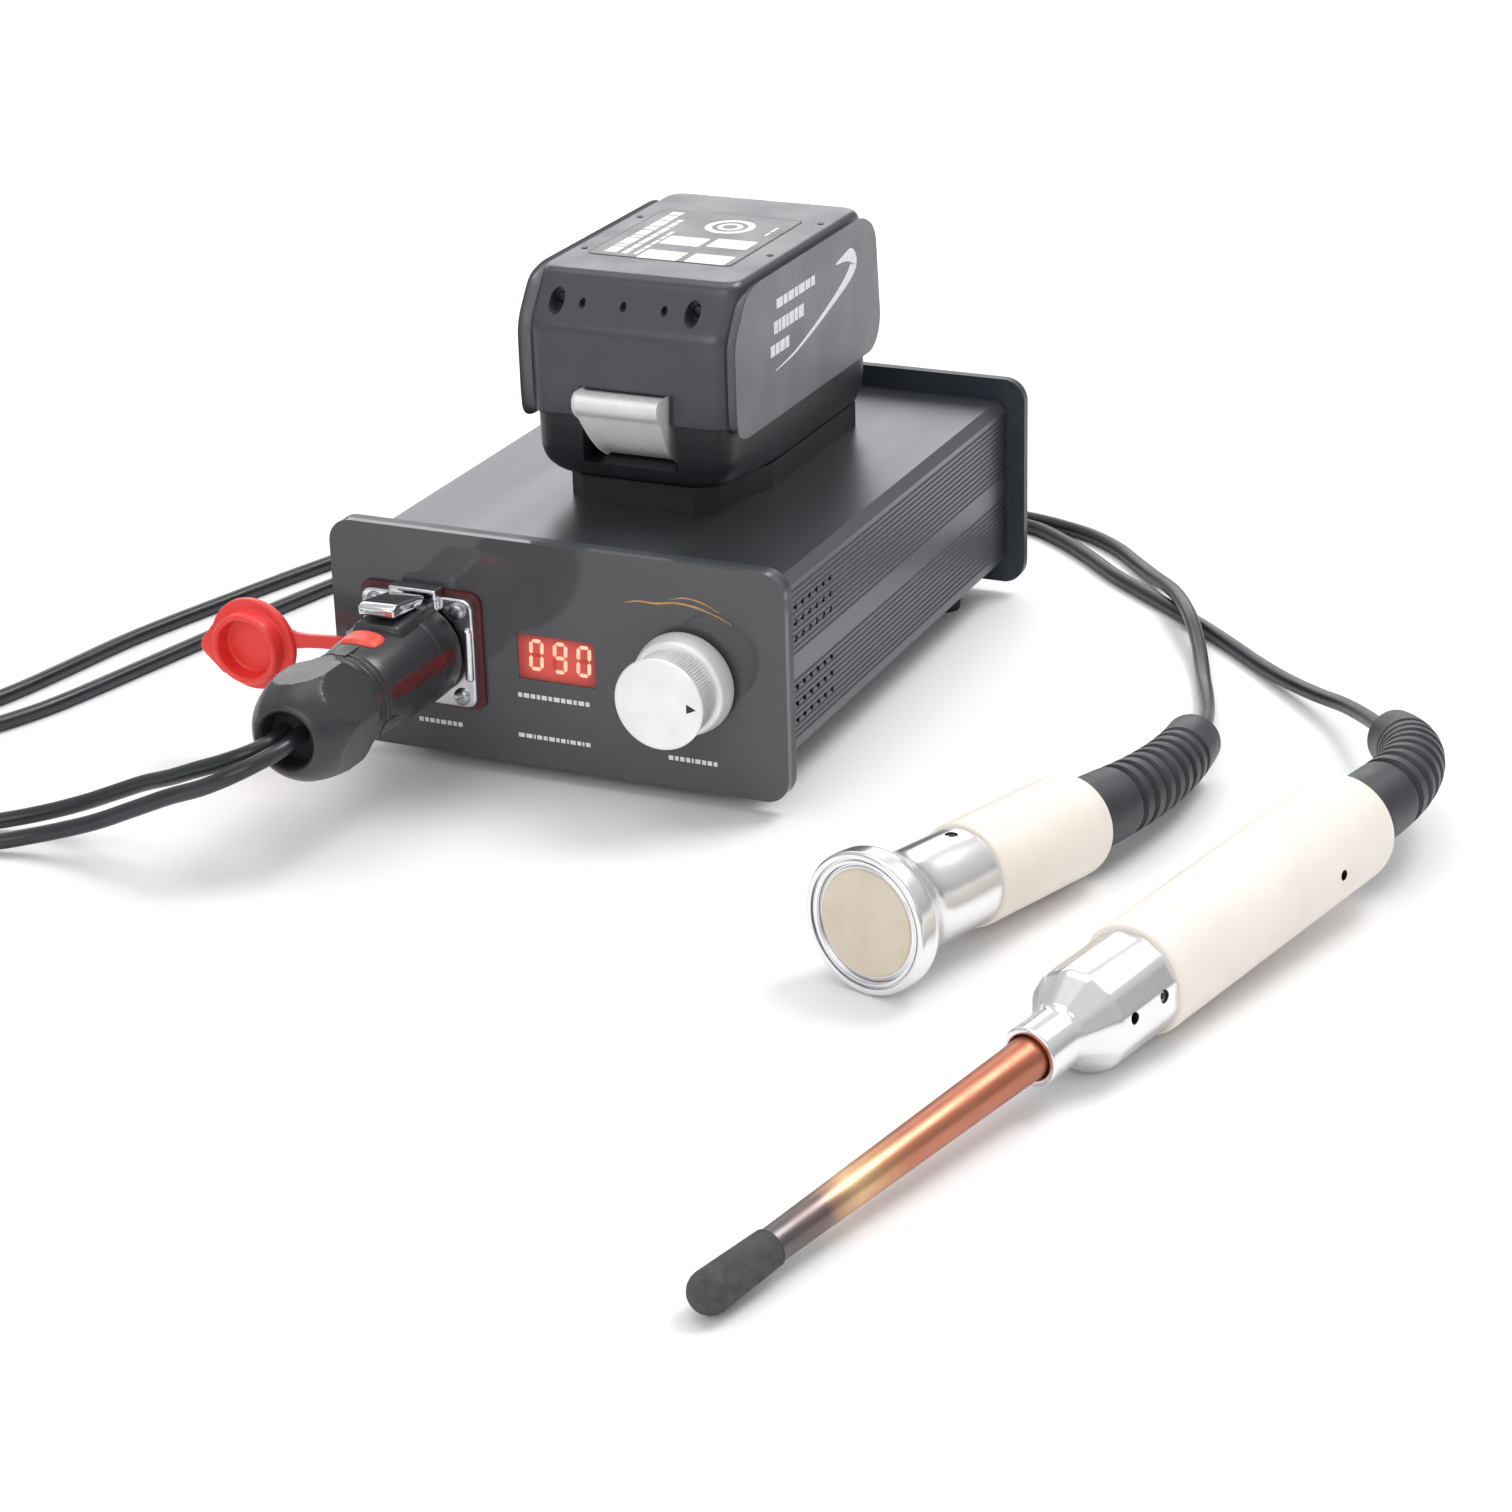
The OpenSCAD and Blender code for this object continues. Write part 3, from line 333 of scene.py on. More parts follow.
def finish(name, colour, roughness, metallic=0.0, shade=None, patch=18.0, uneven=0.05,
           grain=0.5, relief=0.01, run=(1, 1, 1), sockets=None):
    """Principled surface. Its colour drifts from `colour` to `shade` over patches of `patch` mm and
    its roughness by `uneven` either way; its relief of `relief` mm has a grain of `grain` mm,
    drawn out along an axis where `run` is under one."""
    material = bpy.data.materials.new(name)
    material.use_nodes = True
    material.node_tree.nodes.clear()
    place = add(material, "TexCoord", {"name": "place"}).outputs["Object"]
    drawn = add(material, "Mapping", {"Scale": run}, {"Vector": place}).outputs[0]
    patches = add(material, "TexNoise", {"name": "patches", "Scale": 1000 / patch, "Detail": 3.0},
                  {"Vector": drawn}).outputs["Fac"]
    grains = add(material, "TexNoise", {"Scale": 1000 / grain, "Detail": 2.0},
                 {"Vector": drawn}).outputs["Fac"]
    spread = add(material, "MapRange", {"From Min": 0.35, "From Max": 0.65}, {"Value": patches})
    tone = add(material, "Mix", {"name": "tone", "data_type": "RGBA", 6: linear(colour),
                                 7: linear(shade or colour)}, {0: spread.outputs[0]})
    rough = add(material, "MapRange", {"name": "rough", "From Min": 0.3, "From Max": 0.7,
                                       "To Min": max(roughness - uneven, 0.02),
                                       "To Max": roughness + uneven}, {"Value": patches})
    bump = add(material, "Bump", {"name": "relief", "Strength": 1.0, "Distance": relief * MM},
               {"Height": grains})
    surface = add(material, "BsdfPrincipled", {"name": "surface", "Metallic": metallic, **(sockets or {})},
                  {"Base Color": tone.outputs[2], "Roughness": rough.outputs[0],
                   "Normal": bump.outputs[0]})
    add(material, "OutputMaterial", {}, {"Surface": surface.outputs[0]})
    return material


def ramped(owner, factor, stops):
    """Colour ramp of `factor` through the stops (place, sRGB hex)."""
    ramp = add(owner, "ValToRGB", {}, {"Fac": factor})
    for i, (at, colour) in enumerate(stops):
        stop = ramp.color_ramp.elements[i] if i < 2 else ramp.color_ramp.elements.new(at)
        stop.position, stop.color = at, linear(colour)
    return ramp.outputs[0]


def along(material, origin, axis):
    """Distance in millimetres along an axis from an origin: ((P - origin) . axis) / mm."""
    place = material.node_tree.nodes["place"].outputs["Object"]
    moved = add(material, "VectorMath", {"operation": "SUBTRACT", 1: tuple(np.array(origin) * MM)},
                {0: place})
    return add(material, "VectorMath", {"operation": "DOT_PRODUCT", 1: tuple(np.array(axis) / MM)},
               {0: moved.outputs[0]}).outputs["Value"]


def lathe_marks(material, origin, axis, pitch=0.5, depth=0.004):
    """Rings left by the tool: a noise of the distance along the axis alone, `pitch` mm apart,
    drawn wider than the real 0.1 mm feed so that it shows, added before the grain."""
    rings = add(material, "TexNoise", {"noise_dimensions": "1D", "Scale": 1 / pitch, "Detail": 1.0},
                {"W": along(material, origin, axis)})
    nodes = material.node_tree.nodes
    marks = add(material, "Bump", {"Strength": 1.0, "Distance": depth * MM},
                {"Height": rings.outputs["Fac"]})
    material.node_tree.links.new(marks.outputs[0], nodes["relief"].inputs["Normal"])
    return material


def glow(material, colour, strength):
    """Makes a surface give off light."""
    surface = material.node_tree.nodes["surface"]
    surface.inputs["Emission Color"].default_value = linear(colour)
    surface.inputs["Emission Strength"].default_value = strength
    return material


def halo(material, centre, reach):
    """Light spread round the digits: the emission strength times (1 - a^4)(1 - b^4), where a and b
    run from 0 at the window's centre to 1 at its sides and at its top and bottom."""
    def math_node(operation, value, source):
        """One Math node whose second input is `value`."""
        return add(material, "Math", {"operation": operation, 1: value}, {0: source}).outputs[0]

    falls = []
    for axis, size in (((1, 0, 0), reach[0]), ((0, 0, 1), reach[1])):
        part = math_node("ABSOLUTE", 0.0, math_node("DIVIDE", size, along(material, centre, axis)))
        power = math_node("POWER", 4.0, part)
        falls.append(add(material, "Math", {"operation": "SUBTRACT", 0: 1.0}, {1: power}).outputs[0])
    both = add(material, "Math", {"operation": "MULTIPLY"}, {0: falls[0], 1: falls[1]}).outputs[0]
    strength = material.node_tree.nodes["surface"].inputs["Emission Strength"]
    material.node_tree.links.new(math_node("MULTIPLY", strength.default_value, both), strength)


# Extruded aluminium, sandblasted and anodised charcoal: a satin metal, streaked along the extrusion.
anodised = finish("anodised_aluminium", "#66686c", 0.33, 0.85, "#5e6064", patch=30, uneven=0.03,
                  grain=0.5, relief=0.004, run=(1, 0.08, 1))
# Polycarbonate film printed grey from behind: a flat colour under a clear gloss.
overlay_film = finish("printed_polycarbonate", "#505053", 0.08, 0.0, "#4d4d50", patch=60, uneven=0.02,
                      grain=3.0, relief=0.002, sockets={"IOR": 1.45})
# Powder-coated aluminium plate: dark, with a fine orange peel.
powder_coat = finish("powder_coat", "#31373f", 0.42, 0.0, "#2d3239", patch=25, grain=0.8, relief=0.02)
# Moulded EPDM rubber: nearly black and dull.
foot_rubber = finish("moulded_rubber", "#1b1b1c", 0.75, 0.0, "#232324", patch=6, grain=0.4, relief=0.03)
# Zinc-plated steel: bright, slightly cloudy.
steel = finish("plated_steel", "#b9bbbe", 0.28, 1.0, "#9c9ea2", patch=2.5, grain=0.3, relief=0.004)
dark_steel = finish("blackened_steel", "#3a3b3e", 0.4, 0.8, "#2a2b2d", patch=1.5, grain=0.3, relief=0.01)
# Red acrylic window with the light of the digits spread inside it.
red_window = glow(finish("red_acrylic", "#6e1f1d", 0.12, 0.0, "#641b19", patch=9, uneven=0.02, grain=2,
                         relief=0.002, sockets={"IOR": 1.49}), "#e0564a", 0.75)
# The glow dies out just past the window's edges.
window_reach = (high("display_window") - low("display_window")) * 1.08 / 2
halo(red_window, middle("display_window"), window_reach[[0, 2]])
# LED segments: lit ones are a warm pink, the unlit others a dull red with a faint painted glow.
lit_segment = glow(finish("lit_segment", "#ff9f86", 0.4, 0.0, "#ffb29c", patch=2, grain=0.4,
                          relief=0.002), "#ffa78c", 0.9)
unlit_segment_painted_glow = glow(finish("unlit_segment_painted_glow", "#a8332c", 0.4, 0.0, "#9a2e28", patch=2, grain=0.4,
                           relief=0.002), "#c8423a", 0.35)
# Glass-fibre board under green solder mask.
board = finish("solder_mask", "#14552f", 0.3, 0.0, "#1a6238", patch=4, grain=0.6, relief=0.03)
# Aluminium as sawn and degreased.
bare_aluminium = finish("bare_aluminium", "#c6c8ca", 0.38, 1.0, "#b4b6b9", patch=8, grain=0.4,
                        relief=0.008, run=(1, 0.05, 1))
capacitor_sleeve = finish("capacitor_sleeve", "#23262e", 0.35, 0.0, "#2a2e38", patch=5, grain=0.5,
                          relief=0.006)
# Bare copper, drawn and wiped.
copper = finish("bare_copper", "#c8744f", 0.26, 1.0, "#b9663f", patch=7, grain=0.3, relief=0.004)
fan_plastic = finish("glass_filled_nylon", "#1c1c1e", 0.5, 0.0, "#232326", patch=5, grain=0.4, relief=0.01)
brass = finish("tinned_brass", "#c9a45c", 0.3, 1.0, "#b8924a", patch=3, grain=0.3, relief=0.004)
# Knob turned from aluminium, blasted to a fine white satin and clear anodised.
knob_satin = lathe_marks(finish("satin_knob", "#f2f2f3", 0.42, 0.35, "#ebebec", patch=10, grain=0.35,
                                relief=0.004), dial, (0, -1, 0), 0.6, 0.002)
knurl_bright = finish("knurled_aluminium", "#e9e9ea", 0.42, 0.5, "#dcdcdd", patch=3, grain=0.3,
                      relief=0.004)
pointer_paint = finish("black_paint", "#151515", 0.45, 0.0, "#1d1d1d", patch=3, grain=0.3, relief=0.004)
# Moulded ABS with spark-eroded texture: the battery's and adapter's plastics.
adapter_plastic = finish("adapter_abs", "#242529", 0.42, 0.0, "#1f2024", patch=14, grain=0.7, relief=0.03)
pack_dark = finish("battery_case_abs", "#222429", 0.36, 0.0, "#191a1e", patch=14, grain=0.6, relief=0.02)
pack_grey = finish("battery_cover_abs", "#3d4047", 0.34, 0.0, "#393c43", patch=16, grain=0.6, relief=0.016,
                   sockets={"IOR": 1.58})
pack_panel = finish("side_panel_abs", "#5f6266", 0.36, 0.0, "#595c60", patch=18, grain=0.6, relief=0.02)
# Label film, matt laminate, and the pale print on it.
label_film = finish("label_film", "#4e5055", 0.35, 0.0, "#4a4c51", patch=12, grain=0.8, relief=0.004)
label_edge = finish("label_outline", "#3a3c40", 0.5, 0.0, "#36383c", patch=5, grain=0.8, relief=0.004)
pale_print = finish("pale_print", "#e6e7e9", 0.5, 0.0, "#d6d7d9", patch=1.5, grain=0.3, relief=0.004)
gold_print = finish("gold_print", "#c79a5e", 0.35, 0.5, "#a97b46", patch=5, grain=0.3, relief=0.003)
cell_wrap = finish("cell_wrap", "#2f62a8", 0.35, 0.0, "#2a5898", patch=5, grain=0.6, relief=0.004)
# Moulded white ABS, slightly glossy.
white_plastic = finish("white_abs", "#f3f4f5", 0.3, 0.0, "#ececee", patch=8, uneven=0.04, grain=0.8,
                       relief=0.006)
# Zinc die casting, bright nickel and chrome plated.
chrome = finish("chrome_plate", "#e3e4e6", 0.13, 1.0, "#d2d4d7", patch=4, uneven=0.04, grain=0.7,
                relief=0.01)
gasket_red = finish("silicone_gasket", "#552023", 0.5, 0.0, "#491a1d", patch=5, grain=0.5, relief=0.01)
# Glass-filled nylon of the plug: dark grey with a soft sheen.
plug_nylon = finish("plug_nylon", "#353539", 0.3, 0.0, "#2f2f33", patch=9, grain=0.5, relief=0.02)
# Black nylon of the connector insert. The same black lines the handpieces' small drilled holes as painted
# shade.
nylon_and_hole_shade = finish("nylon_and_hole_shade", "#1c1c1e", 0.45, 0.0, "#202022", patch=5, grain=0.5, relief=0.01)
plug_red = finish("red_marker", "#e4513f", 0.34, 0.0, "#dc4837", patch=4, grain=0.5, relief=0.006)
# Painted reflection: a deep red streak that stands for the red display window mirrored in the plug's side.
red_reflection_paint = finish("painted_red_reflection", "#5e2227", 0.3, 0.0, "#43191d", patch=7, grain=0.5, relief=0.006)
# Soft PVC cap, bright red with a waxy gloss.
cap_red = finish("soft_pvc", "#ee433d", 0.34, 0.0, "#e63b36", patch=9, uneven=0.04, grain=0.9,
                 relief=0.01, sockets={"Subsurface Weight": 0.08, "Subsurface Scale": 0.004})
# Heating face: pressed ceramic plate, beige and dull.
heater_face = finish("ceramic_plate", "#d6cbb9", 0.55, 0.0, "#cfc2ae", patch=9, grain=0.5, relief=0.01)
# Handles: cast cream resin, smooth and slightly waxy.
handle_cream = finish("cream_resin", "#eee6dd", 0.42, 0.0, "#e9e1d6", patch=22, uneven=0.04, grain=0.9,
                      relief=0.01, sockets={"Subsurface Weight": 0.06, "Subsurface Scale": 0.003})
boot_rubber = finish("boot_rubber", "#303338", 0.45, 0.0, "#2b2e33", patch=7, grain=0.5, relief=0.02)
tip_coat = finish("refractory_coat", "#4b4b4b", 0.85, 0.0, "#3e3e3e", patch=4, grain=0.5, relief=0.06)
# Lead jacket: extruded PVC, smooth and half glossy.
lead_jacket = finish("pvc_jacket", "#212428", 0.32, 0.0, "#272a2e", patch=12, grain=1.2, relief=0.006)
disc_metal = lathe_marks(finish("turned_aluminium_disc", "#ededee", 0.24, 1.0, "#e8e8ea", patch=9,
                                uneven=0.01, grain=0.6, relief=0.002), disc_nose, disc_turn[:, 2])
rod_metal = lathe_marks(finish("turned_aluminium_rod", "#ededee", 0.24, 1.0, "#e8e8ea", patch=9,
                               uneven=0.01, grain=0.6, relief=0.002), rod_tip, rod_turn[:, 2])


def heat_tint(material):
    """Copper rod coloured by heat: the colour is a ramp of the distance from the tip, bent a little
    by the patches, from grey-violet by the coat through straw to plain copper."""
    nodes = material.node_tree.nodes
    wander = add(material, "Math", {"operation": "MULTIPLY_ADD", 1: 10.0, 2: -5.0},
                 {0: nodes["patches"].outputs["Fac"]})
    place = add(material, "Math", {"operation": "ADD"},
                {0: along(material, rod_tip, rod_turn[:, 2]), 1: wander.outputs[0]})
    scaled = add(material, "MapRange", {"From Min": 20.0, "From Max": 120.0}, {"Value": place.outputs[0]})
    tint = ramped(material, scaled.outputs[0], [
        (0.0, "#77716f"), (0.12, "#6f6768"), (0.24, "#7b6c6a"), (0.31, "#b8937a"),
        (0.38, "#dcb88c"), (0.48, "#cc9a76"), (0.6, "#c07f66"), (1.0, "#ba755c")])
    material.node_tree.links.new(tint, nodes["surface"].inputs["Base Color"])
    return material


tinted_copper = heat_tint(finish("heat_tinted_copper", "#ad664f", 0.38, 1.0, patch=9, uneven=0.05,
                                 grain=0.4, relief=0.006))

FINISHES = {
    "case_aluminium": anodised, "overlay": overlay_film, "rear_metal": powder_coat,
    "foot_rubber": foot_rubber, "steel": steel, "red_window": red_window, "board": board,
    "bare_aluminium": bare_aluminium, "capacitor": capacitor_sleeve, "copper": copper,
    "fan_plastic": fan_plastic, "brass": brass, "knob_metal": knob_satin,
    "adapter_plastic": adapter_plastic, "pack_dark": pack_dark, "pack_grey": pack_grey,
    "pack_panel": pack_panel, "label": label_film, "cell_wrap": cell_wrap,
    "white_plastic": white_plastic, "chrome": chrome, "gasket_red": gasket_red,
    "connector_plastic": nylon_and_hole_shade, "cap_red": cap_red, "heater_face": heater_face,
    "handle_cream": handle_cream, "boot_rubber": boot_rubber, "tip_coat": tip_coat,
    "lead_jacket": lead_jacket}
OWN_FINISH = {"battery_screws": dark_steel, "front_bezel": powder_coat, "copper_rod": tinted_copper}

for part in frame["record"]["subparts"]:
    node = frame["nodes"][part["node"]]
    node.data.materials.clear()
    node.data.materials.append(OWN_FINISH.get(part["node"], FINISHES[part["material_slot"]]))


# ---- Floor and light ----

def softbox(name, place, aim, width, height, watts):
    """Area light at `place`, in metres, that faces `aim`: its local -z runs from place to aim."""
    data = bpy.data.lights.new(name, "AREA")
    data.shape, data.size, data.size_y, data.energy = "RECTANGLE", width, height, watts
    light = bpy.data.objects.new(name, data)
    bpy.context.scene.collection.objects.link(light)
    back = np.array(place, float) - np.array(aim, float)
    back /= np.linalg.norm(back)
    side = np.cross(UP, back)
    side /= np.linalg.norm(side)
    matrix = Matrix(np.column_stack([side, np.cross(back, side), back]).tolist()).to_4x4()
    matrix.translation = place
    light.matrix_world = matrix


def make_studio():
    """Pale floor, an even white room that darkens towards the horizon, and four soft boxes."""
    paper = finish("white_paper", "#f3f3f4", 0.7, 0.0, "#f2f2f3", patch=900, grain=4, relief=0.002)
    corners = np.array([[-1, -1, 0], [1, -1, 0], [1, 1, 0], [-1, 1, 0]]) * 9000.0
    sheet = (corners, [np.arange(4)[None]])
    ground = bpy.data.objects.new("floor", mesh_from("floor", [(sheet, paper)]))
    bpy.context.scene.collection.objects.link(ground)
    world = bpy.data.worlds.new("studio")
    world.use_nodes = True
    world.node_tree.nodes.clear()
    look = add(world, "TexCoord").outputs["Generated"]
    height = add(world, "SeparateXYZ", {}, {0: look}).outputs["Z"]
    sky = ramped(world, height, [(0.0, "#a3a5a8"), (0.16, "#c6c8ca"), (0.4, "#f0f0f1"), (1.0, "#ffffff")])
    light = add(world, "Background", {"Strength": 0.75}, {"Color": sky})
    add(world, "OutputWorld", {}, {"Surface": light.outputs[0]})
    bpy.context.scene.world = world
    softbox("key", (0.75, 0.7, 1.7), (0.0, -0.1, 0.0), 0.8, 0.8, 18)
    softbox("front", (0.0, -2.0, 1.0), (0.05, -0.2, 0.05), 1.8, 1.1, 12)
    softbox("top", (-0.3, 0.1, 2.0), (0.05, -0.1, 0.0), 1.4, 1.2, 8)
    softbox("back", (-0.95, 1.9, 0.95), (0.0, 0.0, 0.1), 2.2, 1.1, 14)
    bpy.context.scene.view_settings.view_transform = "Standard"


make_studio()


# ---- Leads ----

LEAD_R = 2.6
COIL_R = 29.0


def lead_path(out, centre, start, sweep, back):
    """The route out, the coil C + R (cos q, sin q) that turns clockwise while it climbs a diameter
    a turn, and the route back, as one smooth line."""
    q = np.radians(start - np.linspace(0, sweep, int(sweep / 15) + 1)[1:-1])
    climb = np.linspace(out[-1][2], back[0][2], len(q) + 2)[1:-1]
    coil = np.column_stack([centre[0] + COIL_R * np.cos(q), centre[1] + COIL_R * np.sin(q), climb])
    return smooth_path(np.concatenate([out, coil, back]), 4)


disc_lead_path = lead_path(
    [(-45, -186.8, 42.5), (-45, -198, 42), (-49, -207, 40), (-57, -212, 36), (-67, -212, 31),
     (-79, -211, 26), (-92, -211, 20), (-105, -211, 14), (-116, -212, 10), (-128, -214, 6.5),
     (-140, -218, 4), (-153, -224, 2.7), (-166, -232, 2.7), (-180, -240, 2.7), (-195, -246, 2.7),
     (-211, -249, 2.7), (-230, -249, 2.7), (-250, -247, 2.7), (-270, -245, 2.7), (-285, -244, 2.7)],
    (-285, -215), 270.0, 863.1,
    [(-302, -192, 15.3), (-286, -180, 13), (-270, -168, 8.5), (-254, -156, 4.5), (-239, -145, 2.7),
     (-225, -134, 2.7), (-214, -122, 2.7), (-209, -106, 2.7), (-205, -84, 2.7), (-199, -49, 2.7),
     (-187, -5, 2.7), (-173, 41, 2.7), (-158, 80, 2.7), (-135, 116, 2.7), (-104, 145, 2.7),
     (-68, 165, 2.7), (-30, 176, 2.7), (5, 180, 2.7), (35, 179.5, 2.7), (57, 176.5, 2.7),
     (72, 172, 2.7), (85, 166, 2.7), (98, 156, 2.7), (110, 143, 2.7), (121, 129, 4), (130, 116, 6.4),
     (137, 105, 8), (144, 93, 8.6), (150, 82, 8), (156, 70, 6), (161.5, 57, 4), (166.5, 44, 3),
     (171.5, 31, 3.4), (176, 18, 4.8), (180, 5, 7), (183.5, -8, 9.8), (186, -21, 12.2),
     (187, -31.3, 13.3)])
rod_lead_path = lead_path(
    [(-51, -186.8, 42.5), (-51, -195, 42), (-54.5, -201.5, 40.5), (-63, -204, 37), (-73, -204, 33),
     (-84, -202, 28), (-96, -199, 23), (-108, -198, 17.5), (-120, -197, 12), (-133, -199, 7.5),
     (-146, -203, 4.4), (-160, -210, 2.7), (-173, -218, 2.7), (-186, -226, 2.7),
     (-200, -231.5, 2.7), (-215, -234, 2.7)],
    (-215, -205), 270.0, 840.0,
    [(-240, -190.5, 15), (-232, -177, 13.6), (-222, -164, 10), (-211, -152, 6), (-201, -141, 3.2),
     (-194, -126, 2.7), (-188, -107, 2.7), (-181, -75, 2.7), (-174, -42, 2.7), (-166, -5, 2.7),
     (-156, 32, 2.7), (-140, 70, 2.7), (-115, 105, 2.7), (-82, 135, 2.7), (-44, 156, 2.7),
     (-8, 167, 2.7), (28, 171, 2.7), (57, 169, 2.7), (74, 159, 2.7), (90, 145, 2.7),
     (106, 129, 2.7), (122, 115.5, 2.7), (137, 103, 2.7), (151, 91, 2.7), (165, 78, 2.7),
     (179, 64, 2.9), (193, 50, 4), (207.5, 36, 6.2), (222, 21, 9.8), (234.7, 2.3, 14.3),
     (243.2, -12.8, 17.9), (248.6, -22.1, 19.7)])


def make_lead(name, path):
    """One round lead along its path, in the gland at one end and in the handpiece at the other."""
    lead = piece(name, None, [(skin(tube(path, LEAD_R, 14)), lead_jacket)],
                 [f"{name}_plug_end", f"{name}_coil", f"{name}_tool_end"])
    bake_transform(lead)


make_lead("disc_lead", disc_lead_path)
make_lead("rod_lead", rod_lead_path)


# ---- Handpieces ----

BOOT_ARC, BOOT_INSIDE = 61.0, 3        # length of a boot's bend, and of its part inside the handle
FIRST_RIB, RIBS, GROOVE, GROOVE_DEEP = 20, 8, 2.9, 2.0


def boot_line(start, bend, straight):
    """Middle line of a boot: straight, then an arc in the local xz plane that turns left by
    `bend`: (-R (1 - cos a), 0, s + R sin a)."""
    radius = BOOT_ARC / np.radians(bend)
    a = np.linspace(0, np.radians(bend), 150)
    arc = np.column_stack([-radius * (1 - np.cos(a)), 0 * a, start + straight + radius * np.sin(a)])
    lead_in = np.linspace(start - BOOT_INSIDE, start + straight, 50)[:-1]
    return np.concatenate([np.column_stack([0 * lead_in, 0 * lead_in, lead_in]), arc])


def make_boot(name, body, node, origin, turn, start, bend, straight, droop=0.0):
    """Strain relief: a collar, eight ribs and an end ring. The radius tapers along the line, and
    each groove takes away 2 (1 - |2u - 1|^3) mm over its own width, u from 0 to 1."""
    path = boot_line(start, bend, straight)
    s = np.concatenate([[0], np.cumsum(np.linalg.norm(np.diff(path, axis=0), axis=1))]) - BOOT_INSIDE
    end = s[-1]
    last_rib = end - 12
    radius = np.interp(s, [-BOOT_INSIDE, 0, 2, 18, FIRST_RIB, last_rib, end - 10, end],
                       [11.9, 11.9, 11.9, 11.4, 11.3, 9.5, 9.4, 9.1])
    u = ((s - FIRST_RIB) % ((last_rib - FIRST_RIB) / RIBS)) / GROOVE
    ribbed = (s > FIRST_RIB) & (s < last_rib) & (u < 1)
    radius = radius - np.where(ribbed, GROOVE_DEEP * (1 - np.abs(2 * u - 1) ** 3), 0)
    radius[-3:] -= np.array([0.15, 0.5, 1.1])
    rings = tube(path, radius, 48, across=np.array([0, 1.0, 0]))
    spokes = rings[-1] - path[-1]
    mouth = path[-1] + spokes * (3.1 / 8.0)
    ahead = path[-1] - path[-4]
    inner = mouth - ahead / np.linalg.norm(ahead) * 1.6
    shape = skin(np.concatenate([rings, [path[-1] + spokes * 0.55], [mouth], [inner]]))
    piece(name, body, laid([shape], boot_rubber, origin, turn @ rotation("Z", -droop)),
          [node], crease=50)


make_boot("disc_strain_relief", "disc_handpiece", "disc_boot", disc_nose, disc_turn, 101, 22, 21)
make_boot("rod_strain_relief", "rod_handpiece", "rod_boot", rod_tip, rod_turn, 298, 56, 18, 16)


def make_disc_handpiece():
    """Turned head with a flared rim, pressed-in heating plate and cream handle."""
    head = rounded([(17.4, 12), (17.4, 0.9), (18.5, 0.6), (18.6, 1.7), (19.1, 1.7), (19.2, 0.2),
                    (20.6, 0), (21.3, 0.8), (21.3, 6.4), (20.6, 8.2), (18.2, 11.6), (16.2, 15.6),
                    (15.2, 19.5), (14.9, 24), (14.8, 46.5), (12, 46.5)],
                   [0, 0.3, 0.2, 0.1, 0.1, 0.2, 0.5, 0.7, 1.2, 2, 6, 8, 8, 8, 0.1, 0], 6)
    inner = rounded([(0.5, 1.6), (16.4, 1.6), (16.9, 1.9), (17.3, 1.9), (17.3, 6), (0.5, 6)], 0.25, 4)
    face = rounded([(0.5, 1.05), (15.5, 1.0), (16.05, 1.35), (16.1, 4.0), (0.5, 4.0)], 0.5, 4)
    grip = rounded([(13.6, 46), (15.4, 46), (16, 46.7), (16, 101), (9.2, 101), (9.2, 97)],
                   [0, 0.5, 0.6, 6.5, 0.8, 0], 12)
    at = (disc_nose, disc_turn)
    hole = bar(1.95, 0, 6, disc_nose + disc_turn @ [0, -12.9, 40], disc_turn @ rotation("X", 90))
    # The drilled hole's wall is black nylon: painted shade inside the hole.
    piece("disc_head_turned", "disc_handpiece",
          laid([turned(head, 128)], disc_metal, *at), ["disc_head"], cuts=[hole], inside=nylon_and_hole_shade)
    piece("disc_heating_plate", "disc_handpiece",
          laid([turned(face)], heater_face, *at) + laid([turned(inner)], disc_metal, *at), ["disc_face"])
    piece("disc_grip", "disc_handpiece", laid([turned(grip)], handle_cream, *at),
          ["disc_handle"])


def make_rod_handpiece():
    """Ferrule turned from bar with twelve flats milled along its wide end, and a long cream handle."""
    nose = rounded([(6.25, 147), (6.25, 137.2), (6.9, 136), (8.2, 136), (8.6, 136.6), (8.6, 148.4),
                    (9.2, 150.0), (14.6, 157.6), (15.3, 159.2), (15.3, 185.4), (12, 185.4)],
                   [0, 0.3, 0.4, 0.3, 0.4, 0.8, 0.8, 0.5, 0.6, 0.1, 0], 5)
    grip = rounded([(13.9, 185), (16.1, 185), (16.8, 185.8), (16.8, 298), (9.2, 298), (9.2, 294)],
                   [0, 0.6, 0.7, 7.0, 0.8, 0], 12)
    at = (rod_tip, rod_turn)

    def flats(t, s):
        """Radius times min(1, 0.982 / cos(angle to the nearest flat)), only where the bar is wide."""
        off = (t + np.pi / 12) % (np.pi / 6) - np.pi / 12
        return np.minimum(1.0, np.where(s > 149.8, 0.982 / np.cos(off), 1.0))

    def side_hole(radius, along_rod, out, degrees):
        """Hole drilled towards the rod's axis, at an angle about it."""
        facing = rod_turn @ rotation("Z", degrees)
        return bar(radius, 0, 8, rod_tip + facing @ [out, 0, along_rod], facing @ rotation("Y", 90))

    # The drilled holes' walls are black nylon: painted shade inside the holes.
    piece("rod_ferrule_turned", "rod_handpiece",
          laid([turned(nose, 144, flats)], rod_metal, *at), ["rod_ferrule"],
          cuts=[side_hole(1.75, 164, 11.5, -12), side_hole(1.95, 178, 12.7, -12)], crease=24,
          inside=nylon_and_hole_shade)
    piece("rod_grip", "rod_handpiece", laid([turned(grip)], handle_cream, *at),
          ["rod_handle"], cuts=[side_hole(1.6, 267, 14.2, -3)], inside=nylon_and_hole_shade)


make_disc_handpiece()
make_rod_handpiece()


# ---- Knob and display ----

